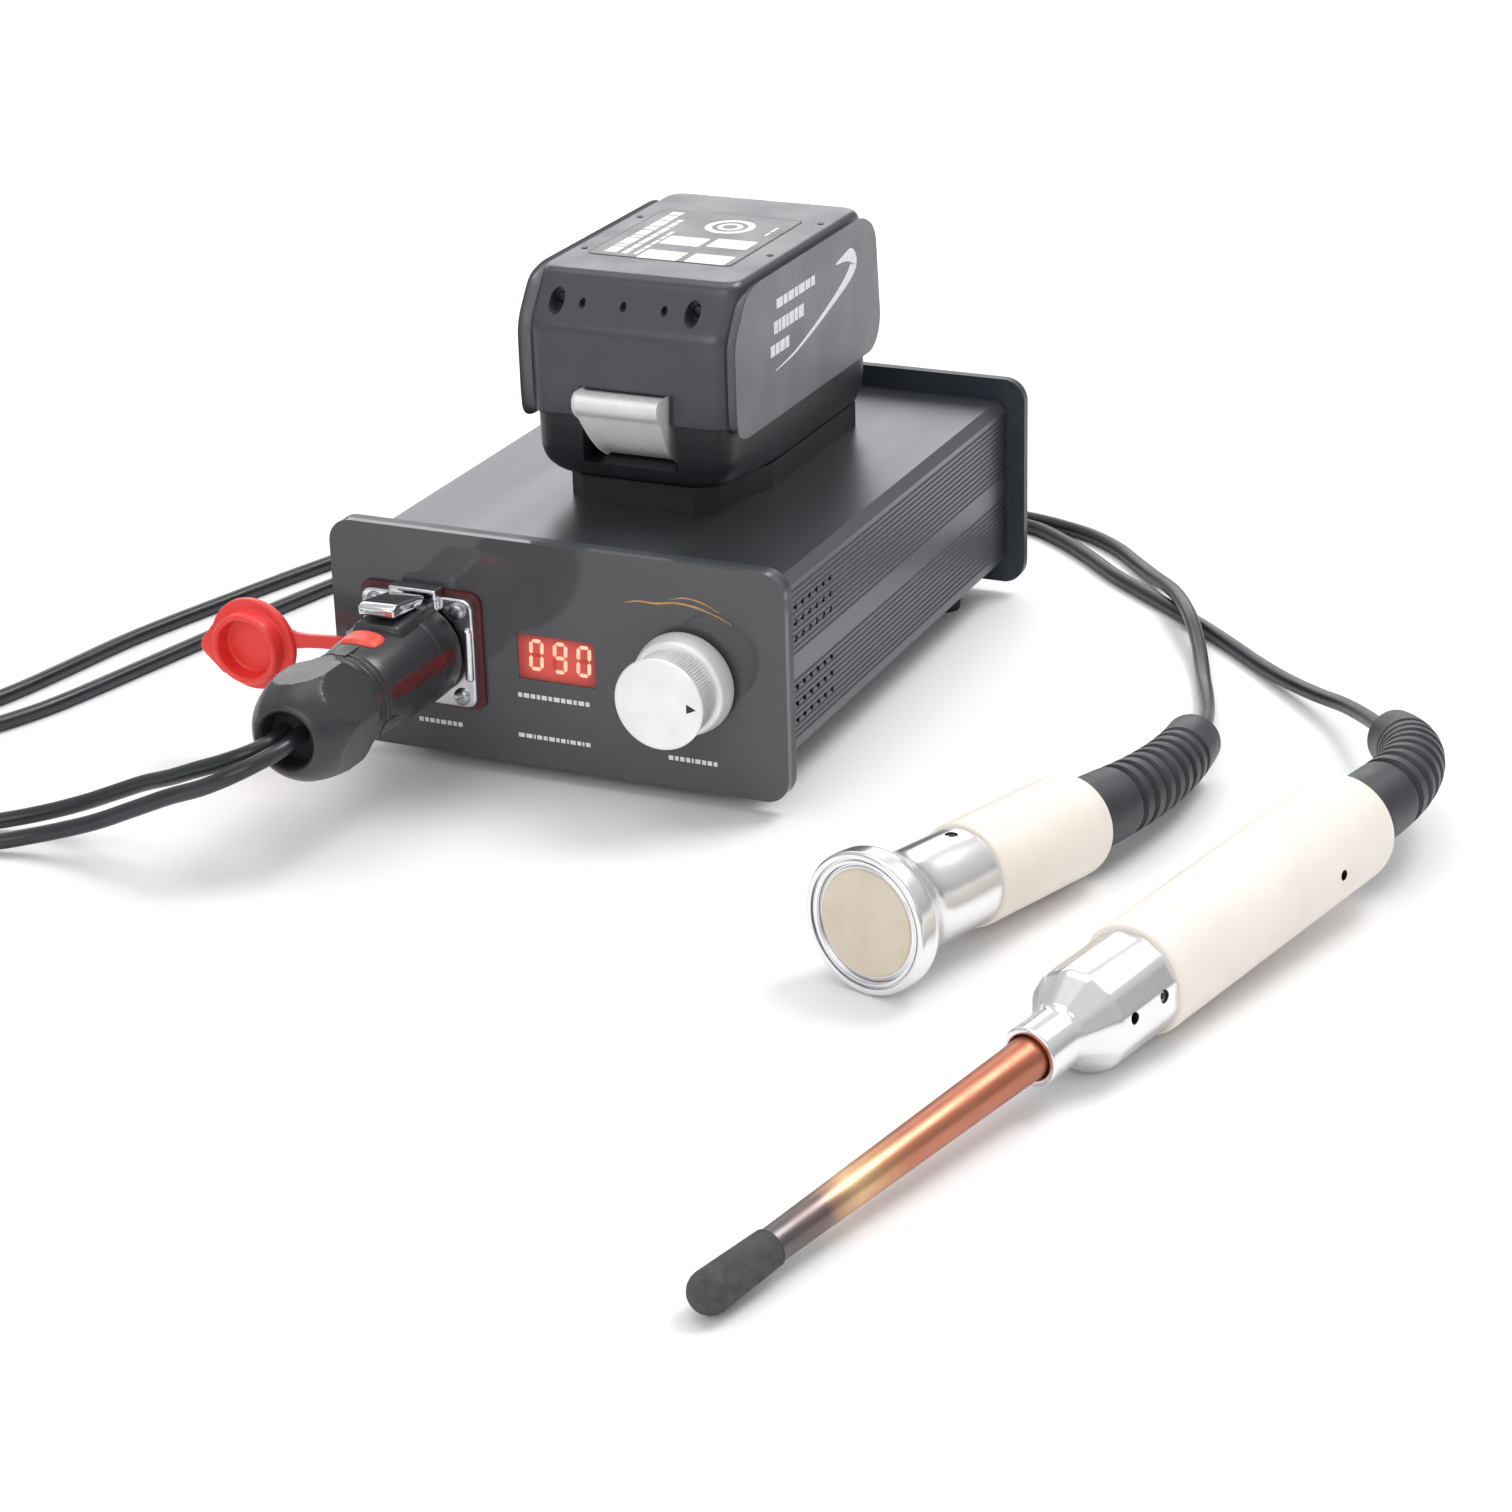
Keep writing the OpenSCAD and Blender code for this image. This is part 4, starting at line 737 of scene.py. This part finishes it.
def make_knob():
    """Satin knob with a flared skirt, a straight-knurled waist and a flat face. The waist's radius
    falls by 0.28 |sin(45 t)| mm between the knurl's ridges."""
    skirt = rounded([(8, 1.7), (16.3, 1.7), (16.8, 2.3), (16.8, 4.4), (15.7, 8.8), (15.0, 9.3), (13.4, 9.4)],
                    [0, 0.5, 0.5, 1.5, 0.8, 0.4, 0], 5)
    cap = rounded([(13.4, 20.3), (14.6, 20.4), (15, 20.8), (15, 21.6), (14.6, 22), (0.5, 22)],
                  [0, 0.3, 0.3, 0.3, 0.35, 0], 4)
    waist = np.column_stack([np.full(12, 14.1), np.linspace(8.8, 20.6, 12)])
    ridges = turned(waist, 360, lambda t, s: 1 - 0.02 * np.abs(np.sin(45 * t)))
    piece("knob_turned", "knob",
          laid([turned(skirt)], knob_satin, dial) + laid([ridges], knurl_bright, dial)
          + laid([turned(cap)], knob_satin, dial), ["knob"])
    arrow = rounded_loop([(9.6, -1.55), (12.9, 0.0), (9.6, 1.55)], 0.2, 4)
    piece("knob_pointer", "knob", laid([prism(arrow, 21.9, 22.04)], pointer_paint, dial))


def segment(x, z, long_side, upright):
    """Outline of one display bar, a hexagon about its own middle that leans by 0.05."""
    a, b = long_side / 2, 0.62
    shape = np.array([(-a, 0), (-a + b, -b), (a - b, -b), (a, 0), (a - b, b), (-a + b, b)])
    if upright:
        shape = shape[:, ::-1] * [-1, 1]
    shape = shape + [x, z]
    return np.column_stack([shape[:, 0] + 0.05 * shape[:, 1], shape[:, 1]])


def make_display():
    """Three seven-segment digits, 090, just proud of the red window."""
    centre = middle("display_window")
    face = centre[1] - low("display_window")[1]
    bars = [(0, 4.75, 3.3, False), (1.95, 2.4, 4.2, True), (1.95, -2.4, 4.2, True), (0, -4.75, 3.3, False),
            (-1.95, -2.4, 4.2, True), (-1.95, 2.4, 4.2, True), (0, 0, 3.3, False)]
    nought, nine = (0, 1, 2, 3, 4, 5), (0, 1, 2, 3, 5, 6)
    lit, dark = [], []
    for x, shown in ((-7.1, nought), (1.3, nine), (9.7, nought)):
        place = centre + [x, 0, 0.9]
        for i, (bx, bz, long_side, upright) in enumerate(bars):
            shape = skin(prism(segment(bx, bz, long_side, upright), face - 0.1, face + 0.06), True)
            if i in shown:
                lit += laid([shape], lit_segment, place)
            else:
                # Unlit segments: dull red with a faint painted glow.
                dark += laid([shape], unlit_segment_painted_glow, place)
    piece("display_digits", "station", lit + dark)


def stroke(points, width, lift=0.04):
    """Flat printed line along points (x, z) whose width, one number a point, tapers: a closed
    ribbon of four corners a ring."""
    p = smooth_path(np.column_stack([points, 0 * np.asarray(points)[:, :1]]), 8)
    w = np.interp(np.linspace(0, 1, len(p)), np.linspace(0, 1, len(width)), width)
    d = np.gradient(p, axis=0)
    d /= np.linalg.norm(d, axis=1, keepdims=True)
    side = np.column_stack([-d[:, 1], d[:, 0], 0 * w]) * w[:, None] / 2
    rise = np.array([0, 0, lift])
    return skin(np.stack([p - side, p + side, p + side + rise, p - side + rise], 1))


def dashes(x, z, widths, height, space=0.55, lift=0.04):
    """Row of plain short dashes from x on, where lettering would be."""
    widths = np.asarray(widths, float)
    start = x + np.concatenate([[0], np.cumsum(widths + space)[:-1]])
    zero = np.zeros(len(widths))
    return boxes(np.column_stack([start, zero + z, zero]),
                 np.column_stack([start + widths, zero + z + height, zero + lift]))


def make_print():
    """Printed marks on the overlay: a gold line over the dial and plain dashes for the captions."""
    origin = np.array([0.0, front_y, 0.0])
    gold = [stroke([(25.6, 65.6), (30, 66.6), (36, 66.6), (43, 67.6), (50, 67.0), (57, 65.0), (62, 62.8)],
                   [0.15, 0.5, 0.6, 0.7, 0.6, 0.45, 0.15]),
            stroke([(41, 68.4), (46, 69.6), (52, 68.8), (58, 66.2)], [0.12, 0.45, 0.5, 0.12])]
    words = [dashes(-14, 28.3, [1.4, 2.0, 1.6, 1.2, 1.9, 1.3, 2.1, 1.5, 1.8, 1.2, 2.0, 1.4], 1.5),
             dashes(-14.6, 14.4, [2.2, 2.2, 0.6, 1.8, 1.4, 2.0, 1.2, 1.6, 0.6, 1.9, 1.4, 0.6, 1.6], 1.4),
             dashes(-51, 14.6, [1.6, 1.3, 1.7, 1.2, 1.9, 1.5, 1.3, 1.6], 1.5),
             dashes(38.7, 14.4, [1.6, 1.3, 1.5, 1.4, 0.7, 1.8, 1.4, 1.5, 1.3], 1.5)]
    piece("front_marks", "station",
          laid(gold, gold_print, origin) + laid(words, pale_print, origin))


make_knob()
make_display()
make_print()


# ---- Socket, plug and cap ----

def make_flange():
    """Chrome flange with rounded rims, a bar down each side, a bracket over the top, lugs for the
    cap's pin, and its four slotted screws."""
    rear, flat = 1.3, front_y - low("socket_flange")[1]
    plate = prism(rectangle(-20, 20, -18.5, 18.5, 4), rear, 4.3, 0.7, 0.1)
    bars = [prism(rectangle(x - 1.5, x + 1.5, -9.2, 9.2, 1.4), 3.4, 5.6, 1.3, 0.1) for x in (-18.2, 18.2)]
    bracket = [prism(rectangle(-8.2, 8.8, 17.6, 21.4, 0.8), 1.5, 7.2, 0.8),
               prism(rectangle(5.6, 8.8, 13.8, 18.4, 0.8), 4.2, 7.0, 0.7)]
    lugs = [boxes([(-23.3, z - socket[2], 1.9)], [(-17.4, z - socket[2] + 1.6, flat)])
            for z in (37.0, 45.6)]
    piece("socket_flange_plate", "station", laid([plate], chrome, socket), ["socket_flange"],
          cuts=[bar(14.15, 0, 9, socket, FORWARD, 96)])
    piece("socket_flange_bars", "station", laid(bars + bracket + lugs, chrome, socket))
    head = rounded([(2.9, 4.2), (2.9, 5.0), (2.0, 5.9), (0.3, 6.15)], [0, 0.4, 1.2, 0], 5)
    slot = seat(boxes([(-1.6, -0.28, 5.0)], [(1.6, 0.28, 7)]), 0, rotation("Z", 25))
    places = [socket + [x, 0, z] for x in (-15, 15) for z in (-14.7, 14.7)]
    piece("socket_screw_heads", "station",
          [laid([turned(head, 40)], steel, p)[0] for p in places], ["socket_screws"],
          cuts=[seat(slot, p, FORWARD) for p in places])


def band(theta0, theta1, s0, s1, radius, raised, power=4.0):
    """Closed patch on the plug's side, in polar form about its axis. Its half-width over s follows
    (1 - |2u - 1|^p)^(1/p), so its ends are round; it stands `raised` out of radius(s)."""
    u = np.linspace(0.002, 0.998, 28)
    s = s0 + (s1 - s0) * u
    half = np.radians(theta1 - theta0) / 2 * (1 - np.abs(2 * u - 1) ** power) ** (1 / power)
    middle_angle = np.radians(theta0 + theta1) / 2
    w = np.linspace(-1, 1, 15)
    angle = middle_angle + half[:, None] * w[None, :]
    crown = raised * (1 - np.abs(w) ** 6)[None, :] * np.minimum(1, 6 * np.minimum(u, 1 - u))[:, None]
    r = radius(s)[:, None] + crown
    outer = np.stack([r * np.cos(angle), r * np.sin(angle), np.broadcast_to(s[:, None], r.shape)], -1)
    r = radius(s)[:, None] - 1.2 + 0 * crown
    inner = np.stack([r * np.cos(angle), r * np.sin(angle), np.broadcast_to(s[:, None], r.shape)], -1)
    return skin(np.concatenate([outer, inner[:, ::-1]], 1))


def make_plug():
    """Plug shell with its latch housing, a red marker, a painted red reflection down its right side, grooved
    ring and domed hexagonal gland nut.
    """
    line = rounded([(11, 5.4), (16.2, 5.4), (17, 6.4), (17, 14), (16.5, 20), (16.4, 30), (15.7, 40),
                    (15.2, 45.5), (14.6, 48.3), (11, 48.6)], [0, 0.6, 0.8, 2, 3, 4, 4, 1.5, 0.8, 0], 6)

    def shell_radius(s):
        return np.interp(s, line[:, 1], line[:, 0])

    saddle = [(-9.2, 8), (9.2, 8), (9.2, 14.2), (7.2, 17.4), (-7.2, 17.4), (-9.2, 14.2)]
    housing = [prism(rounded_loop(saddle, 1.6, 5), 5.6, 31, 2.2, 0.2),
               prism(rectangle(-8.2, 8.2, 6, 14.6, 2.2), 20, 39.5, 5.0, 0.2)]
    # Two finger ribs, and the lugs that the gland turns on.
    ribs = [turned(rounded([(16, s - 1.2), (17.25, s), (16, s + 1.2)], 0.9, 5)) for s in (12.5, 17.5)]
    lug = boxes([(-2.2, 14.2, 44)], [(2.2, 15.5, 52.5)])
    lugs = [seat(lug, 0, rotation("Z", a)) for a in (0, 120, 240)]
    piece("plug_body", "station",
          laid([turned(line)] + housing + ribs + lugs, plug_nylon, socket), ["plug_shell"])
    # Painted reflection of the red display window: a thin deep red band along the shell's right side. The
    # raised patch on top is a real red marker.
    reflection_streak = band(0, 18, 9, 49, shell_radius, 0.25)
    marker = band(66, 116, 33.6, 42.9, lambda s: shell_radius(s) + 0.2, 0.9, 3.4)
    piece("plug_marker_and_reflection", "station",
          laid([reflection_streak], red_reflection_paint, socket) + laid([marker], plug_red, socket))
    ring = rounded([(11, 48.6), (14.4, 48.6), (15.3, 49.2), (15.3, 50.6), (14.5, 51.0), (14.5, 51.5),
                    (15.3, 51.9), (15.3, 53.4), (14.4, 54.3), (11, 54.3)], 0.35, 4)
    piece("gland_collar", "station", laid([turned(ring)], plug_nylon, socket),
          ["gland_ring"])
    dome = rounded([(10.8, 54.5), (15.6, 54.5), (16.0, 55.2), (16.3, 58), (18.2, 60.5), (18.5, 70),
                    (17.2, 77), (14.0, 83.4), (11.2, 86.4), (9.6, 86.6), (8.8, 85), (8.8, 79)],
                   [0, 0.3, 0.6, 1.0, 2.0, 4, 4, 3, 1.5, 0.8, 0.5, 0], 6)
    share, rows = np.linspace(0, 1, len(dome)), np.linspace(0, 1, 90)
    fine = np.column_stack([np.interp(rows, share, dome[:, i]) for i in (0, 1)])
    outer = (fine[:, :1] > 11.7) & (fine[:, 1:] > 55)

    def facets(t, s):
        """Six flats cut into the dome's outside: the radius times min(1, 15.8 / (R cos(angle to the
        nearest flat's middle)))."""
        off = (t + np.pi / 6 + 0.35) % (np.pi / 3) - np.pi / 6
        r = np.interp(s, dome[:, 1], dome[:, 0])
        return np.where(outer, np.minimum(1.0, 15.8 / (r * np.cos(off))), 1.0)

    piece("gland_nut_moulded", "station",
          laid([turned(fine, 144, facets)], plug_nylon, socket), ["gland_nut"], crease=13)


def make_latch():
    """Chrome latch: a rounded slab whose front end turns up into a finger lip with a small slot. Its
    underside slopes up from the pin, to leave room when it tilts."""
    side = rounded_loop([(9.6, 19.3), (11.6, 17.8), (15.5, 17.8), (25.5, 19.0), (29.2, 19.5), (29.6, 22.6),
                         (26.5, 23.4), (18.5, 22.2), (9.4, 20.6)],
                        [0.4, 0.5, 2.0, 0.6, 0.8, 1.1, 1.5, 3.0, 0.8], 6)
    across = np.array([[0, 0, 1.0], [0, 1, 0], [1, 0, 0]])  # local x forward, y up, z to the right
    slab = seat(skin(prism(side, -6.4, 6.4, 0.9)), 0, across)
    slot_cut = boxes([(-3.6, 20.4, 28.4)], [(3.6, 21.2, 31)])
    piece("latch_cast", "plug_latch", laid([slab], chrome, socket), ["plug_latch"],
          cuts=[seat(slot_cut, socket, FORWARD)])


def make_cap():
    """Soft red cap: a flange, a cup with a rolled lip, a pointed pull tab, and the strap with its
    eye round the pin."""
    centre = np.array([-103.5, front_y, 39.0])
    cup = rounded([(0.5, 11.5), (15.3, 11.5), (15.6, 12.0), (15.6, 13.6), (15.1, 14.1), (12.6, 14.2),
                   (12.2, 15), (12.1, 18.8), (11.5, 19.6), (10.4, 19.6), (9.8, 18.9), (9.5, 14.3),
                   (9.0, 13.7), (0.5, 13.6)],
                  [0, 0.4, 0.4, 0.4, 0.4, 0.5, 0.6, 0.5, 0.5, 0.5, 0.6, 0.8, 0.6, 0], 5)
    tab = rounded_loop([(-20.2, -4), (-11.5, -12.3), (-9, -9), (-9, 7), (-11.5, 9.2), (-19.6, -0.8)],
                       [1.6, 1.5, 1, 1, 1.5, 1.6], 6)
    eye = middle("cap_pin")
    start, end = np.array([-90.3, -119.2]), eye[:2] - [1.2, 0.2]
    u = np.linspace(0, 1, 16)[:, None]
    line = start + (end - start) * u + np.array([-0.19, 0.98]) * (0.4 * np.sin(np.pi * u))
    d = np.gradient(line, axis=0)
    d /= np.linalg.norm(d, axis=1, keepdims=True)
    side = np.column_stack([-d[:, 1], d[:, 0]]) * 0.8
    half = np.interp(u[:, 0], [0, 0.12, 0.3, 1], [4.2, 2.6, 2.2, 2.1])
    strap = np.stack([np.column_stack([line + i * side, 41.8 + k * half])
                      for i, k in ((-1, -1), (1, -1), (1, 1), (-1, 1))], 1)
    eyelet = rounded([(1.06, 39.1), (2.1, 39.0), (2.3, 39.2), (2.3, 44.6), (2.1, 44.8), (1.06, 44.7)], 0.2, 3)
    parts = laid([turned(cup), skin(prism(tab, 11.7, 14.0, 0.6), True)], cap_red, centre)
    parts += [(skin(strap), cap_red), (seat(hoop(eyelet, 32), np.array([eye[0], eye[1], 0])), cap_red)]
    piece("dust_cap_soft", "dust_cap", parts, ["dust_cap"])


make_flange()
make_plug()
make_latch()
make_cap()


# ---- Battery ----

pack_low, pack_high = low("battery_cover"), high("battery_cover")


def stack(rows):
    """Rings of round-cornered rectangles up through z. Each row is (z, half width, front y, back y,
    corner radius); rows are joined by `rounded`, so each bend between them is an arc."""
    table = rounded(np.array([r[:5] for r in rows], float), [r[5] for r in rows], 6)
    return np.array([np.column_stack([rectangle(-w, w, y0, y1, r, 9), np.full(36, z)])
                     for z, w, y0, y1, r in table])


def make_battery():
    """Battery: cover with a sloping brow and its screw holes, dark case below, proud side panels,
    a label with plain marks, and the white release button."""
    y0, y1, top, seam = pack_low[1], pack_high[1], pack_high[2], pack_low[2]
    half, flank_x = pack_high[0], pack_high[0] + 2.8
    cover = stack([(seam, half - 1, y0 + 1, y1 - 1, 8, 0), (seam, half - 0.4, y0 + 0.3, y1 - 0.4, 8, 0.2),
                   (seam + 0.6, half, y0, y1, 8, 0.3), (seam + 30, half, y0, y1, 8, 3),
                   (seam + 42, half, y0 + 9.2, y1 - 3.5, 8, 2),
                   (top - 1.4, half - 0.4, y0 + 10.5, y1 - 6, 7, 1.2),
                   (top, half - 1.6, y0 + 12.5, y1 - 8, 6, 1.3), (top, half - 4, y0 + 16, y1 - 11, 5, 0)])
    # The brow falls back 9.2 mm over 12 mm of height; its holes run level, a little taller than wide.
    hole_z = 140.8
    brow_y = y0 + (hole_z - seam - 30) * 9.2 / 12
    screw_x = (-26, 22.4)
    holes = [bar(r, -deep, 7, np.array([x, brow_y, hole_z]), FORWARD @ np.diag([1, tall, 1]), 40)
             for xs, r, tall, deep in ((screw_x, 2.7, 1.45, 5), ((-16.8, -2.2, 12.4), 1.15, 1.3, 3))
             for x in xs]
    holes += [bar(1.15, -1.3, 2, np.array([x, y0 + y, top]), sides=24)
              for x, y in ((-31, 36), (-31, 78), (31, 47), (31, 89))]
    mouth = rounded_loop([(-17, seam - 8), (17, seam - 8), (17, seam + 10.6), (-17, seam + 10.6)], 1.0, 4)
    holes.append(seat(skin(prism(mouth, 0, 14)), np.array([0, y0 + 2.0, 0]), FORWARD))
    piece("battery_shell", "battery", [(skin(cover), pack_grey)], ["battery_cover"],
          cuts=holes, crease=28)
    head = turned(rounded([(1.9, -4.2), (1.9, -3.4), (0.2, -3.1)], 0.4, 4), 24)
    piece("brow_screws", "battery",
          [laid([head], dark_steel, np.array([x, y0 + 5.4, hole_z]))[0] for x in screw_x])
    make_tray(y0, y1, half, seam)
    outline = rounded_loop([(y0 + 3.6, 104), (y0 + 3, 110), (y0 + 3, 133), (y0 + 12, 145), (y0 + 20, 147),
                            (y1 - 14, 147), (y1 - 4, 141.5), (y1 - 0.5, 108), (y1 - 6, 101.8), (y0 + 8, 102)],
                           [2, 3, 5, 3, 4, 5, 5, 5, 4, 3], 7)
    flank = seat(skin(prism(outline, half - 1.0, flank_x, 1.9, 0.1), True), 0, SIDEWAYS)
    piece("battery_flanks", "battery",
          [(flank, pack_panel), (seat(flank, 0, MIRROR), pack_panel)], ["battery_side_panels"], crease=24)
    make_button(y0)
    make_label(top)
    make_flank_marks(flank_x)


def make_tray(y0, y1, half, seam):
    """Dark bottom of the battery: upright to z 93, then drawn in to the neck's outline. Each ring
    blends the two outlines by 1 - cos a while z falls by sin a."""
    wide = rectangle(-half + 0.7, half - 0.7, y0 + 1.6, y1 - 0.7, 8, 9)
    neck = rounded_loop([(-26.5, -43.5), (26.5, -43.5), (33.7, -12), (33.7, 61.7), (-33.7, 61.7), (-33.7, -12)],
                        [9, 9, 12, 5, 5, 12], 8)
    turn = np.linspace(0, 2 * np.pi, 144, endpoint=False)

    def polar(outline):
        """Outline by its angle about the middle, so that two outlines can be blended."""
        centre = np.array([0, (y0 + y1) / 2])
        p = outline - centre
        angle = np.arctan2(p[:, 1], p[:, 0])
        order = np.argsort(angle)
        x = np.interp(turn - np.pi, angle[order], p[order, 0], period=2 * np.pi)
        y = np.interp(turn - np.pi, angle[order], p[order, 1], period=2 * np.pi)
        return np.column_stack([x, y]) + centre

    wide, neck = polar(wide), polar(neck)
    a = np.linspace(0, np.pi / 2, 9)
    share, z = 1 - np.cos(a), 93.5 - 11.2 * np.sin(a)
    rings = [np.column_stack([wide * (1 - k) + neck * k, np.full(144, h)]) for k, h in zip(share, z)]
    rings = np.array(rings[::-1] + [np.column_stack([wide, np.full(144, seam)])])
    well = boxes([(-17.0, y0 - 12, 88.2)], [(17.0, y0 + 14, seam + 1)])
    tee = np.array([(-20.3, 80), (20.3, 80), (20.3, 89.7), (24.3, 89.7), (24.3, 94.3), (-24.3, 94.3),
                    (-24.3, 89.7), (-20.3, 89.7)])
    rail = seat(skin(prism(tee, -y1 - 1, 11), True), 0, FORWARD)
    piece("battery_tray", "battery", [(skin(rings), pack_dark)], ["battery_case"],
          cuts=[well, rail], crease=28)


def make_button(y0):
    """Release button: a ridge along its top over a sloping hollow face. Its side profile runs
    across the width, and it is 31 mm wide at the ridge and 26 mm at its foot."""
    u = np.linspace(0, 1, 10)
    hollow = np.column_stack([y0 - 3.6 + 14.4 * u, 106 - 16.4 * u - 2.4 * np.sin(np.pi * u)])
    ridge = [(y0 + 2, 113.2), (y0 - 5.6, 113.2), (y0 - 6.9, 112), (y0 - 6.9, 109), (y0 - 5.6, 107.2)]
    foot = [(y0 + 12.3, 88.6), (y0 + 12.3, 99), (y0 + 2, 103)]
    profile = rounded_loop(np.concatenate([ridge, hollow, foot]),
                           np.concatenate([[0.8, 1.1, 1.2, 1.2, 1.2], np.full(10, 1.0), [0.7, 1, 1]]), 4)
    shape = seat(prism(profile[::-1], -15.7, 14.7, 1.1), 0, SIDEWAYS)
    shape[..., 0] *= np.interp(shape[..., 2], [88, 104, 110], [0.83, 0.97, 1.0])
    piece("release_button_moulded", "release_button",
          [(skin(shape, True), white_plastic)], ["release_button"], crease=35)


def make_label(top):
    """Film label with a thin dark border and, in pale print, four squares, a ring and dashes."""
    lo, hi = low("battery_label"), high("battery_label")
    place = np.array([(lo[0] + hi[0]) / 2, (lo[1] + hi[1]) / 2, top])
    w, l = (hi[0] - lo[0]) / 2, (hi[1] - lo[1]) / 2
    border = skin(prism(rectangle(-w, w, -l, l, 2.5), -0.02, 0.12))
    film = skin(prism(rectangle(-w + 0.6, w - 0.6, -l + 0.6, l - 0.6, 2.0), 0.02, 0.16))
    marks = [skin(prism(rectangle(x - 7.2, x + 7.2, y - 5.2, y + 5.2, 0.9), 0.1, 0.2))
             for x, y in ((-1.2, -6.6), (15.4, -5.2), (-0.8, -24.6), (16.2, -24.4))]
    for big, small in ((8.6, 6.2), (4.4, 2.6)):
        profile = np.array([(small, 0.1), (big, 0.1), (big, 0.2), (small, 0.2)])
        marks.append(seat(hoop(profile, 64), np.array([5.6, 14.8, 0])))
    rows = [dashes(-l + 3.5, -x - height, sizes, height, 0.9, 0.1)
            for x, sizes, height in ((-21.2, [7, 2, 8, 2, 6, 4, 7, 6, 4], 4.4),
                                     (-14.9, [6, 5, 8, 4, 7, 6, 3], 2.1), (-10.6, [7, 4, 6, 4, 5], 1.4))]
    rows.append(dashes(8, -21.8, [4, 6], 0.9, 0.8, 0.1))
    marks += [seat(row, np.array([0, 0, 0.1]), rotation("Z", 90)) for row in rows]
    piece("battery_label_film", "battery",
          [(seat(border, place), label_edge), (seat(film, place), label_film)]
          + laid(marks, pale_print, place, np.eye(3)), ["battery_label"])


def make_flank_marks(x):
    """Plain pale marks on both side panels: a tapering curved streak and three rows of dashes."""
    streak = stroke([(-18, 116), (-4, 117.6), (8, 120.2), (20, 123.4), (32, 127), (42, 130.6), (48, 134.6),
                     (45, 138.4), (33, 138.2)], [0.3, 0.9, 1.3, 1.8, 2.4, 3.6, 5.4, 4.6, 0.4])
    marks = [streak, dashes(-16, 136.2, [5, 3, 4.5, 2.5, 5, 4, 3], 3.2, 0.7),
             dashes(-18.5, 128.2, [3, 2, 3, 2, 3.5, 3, 4], 4.2, 0.6),
             dashes(-21.5, 121.2, [3.4, 3.0, 3.6, 3], 3.8, 0.6)]
    piece("flank_marks", "battery",
          laid(marks, pale_print, np.array([x, 0, 0]), SIDEWAYS)
          + laid(marks, pale_print, np.array([-x, 0, 0]), MIRROR @ SIDEWAYS))


make_battery()
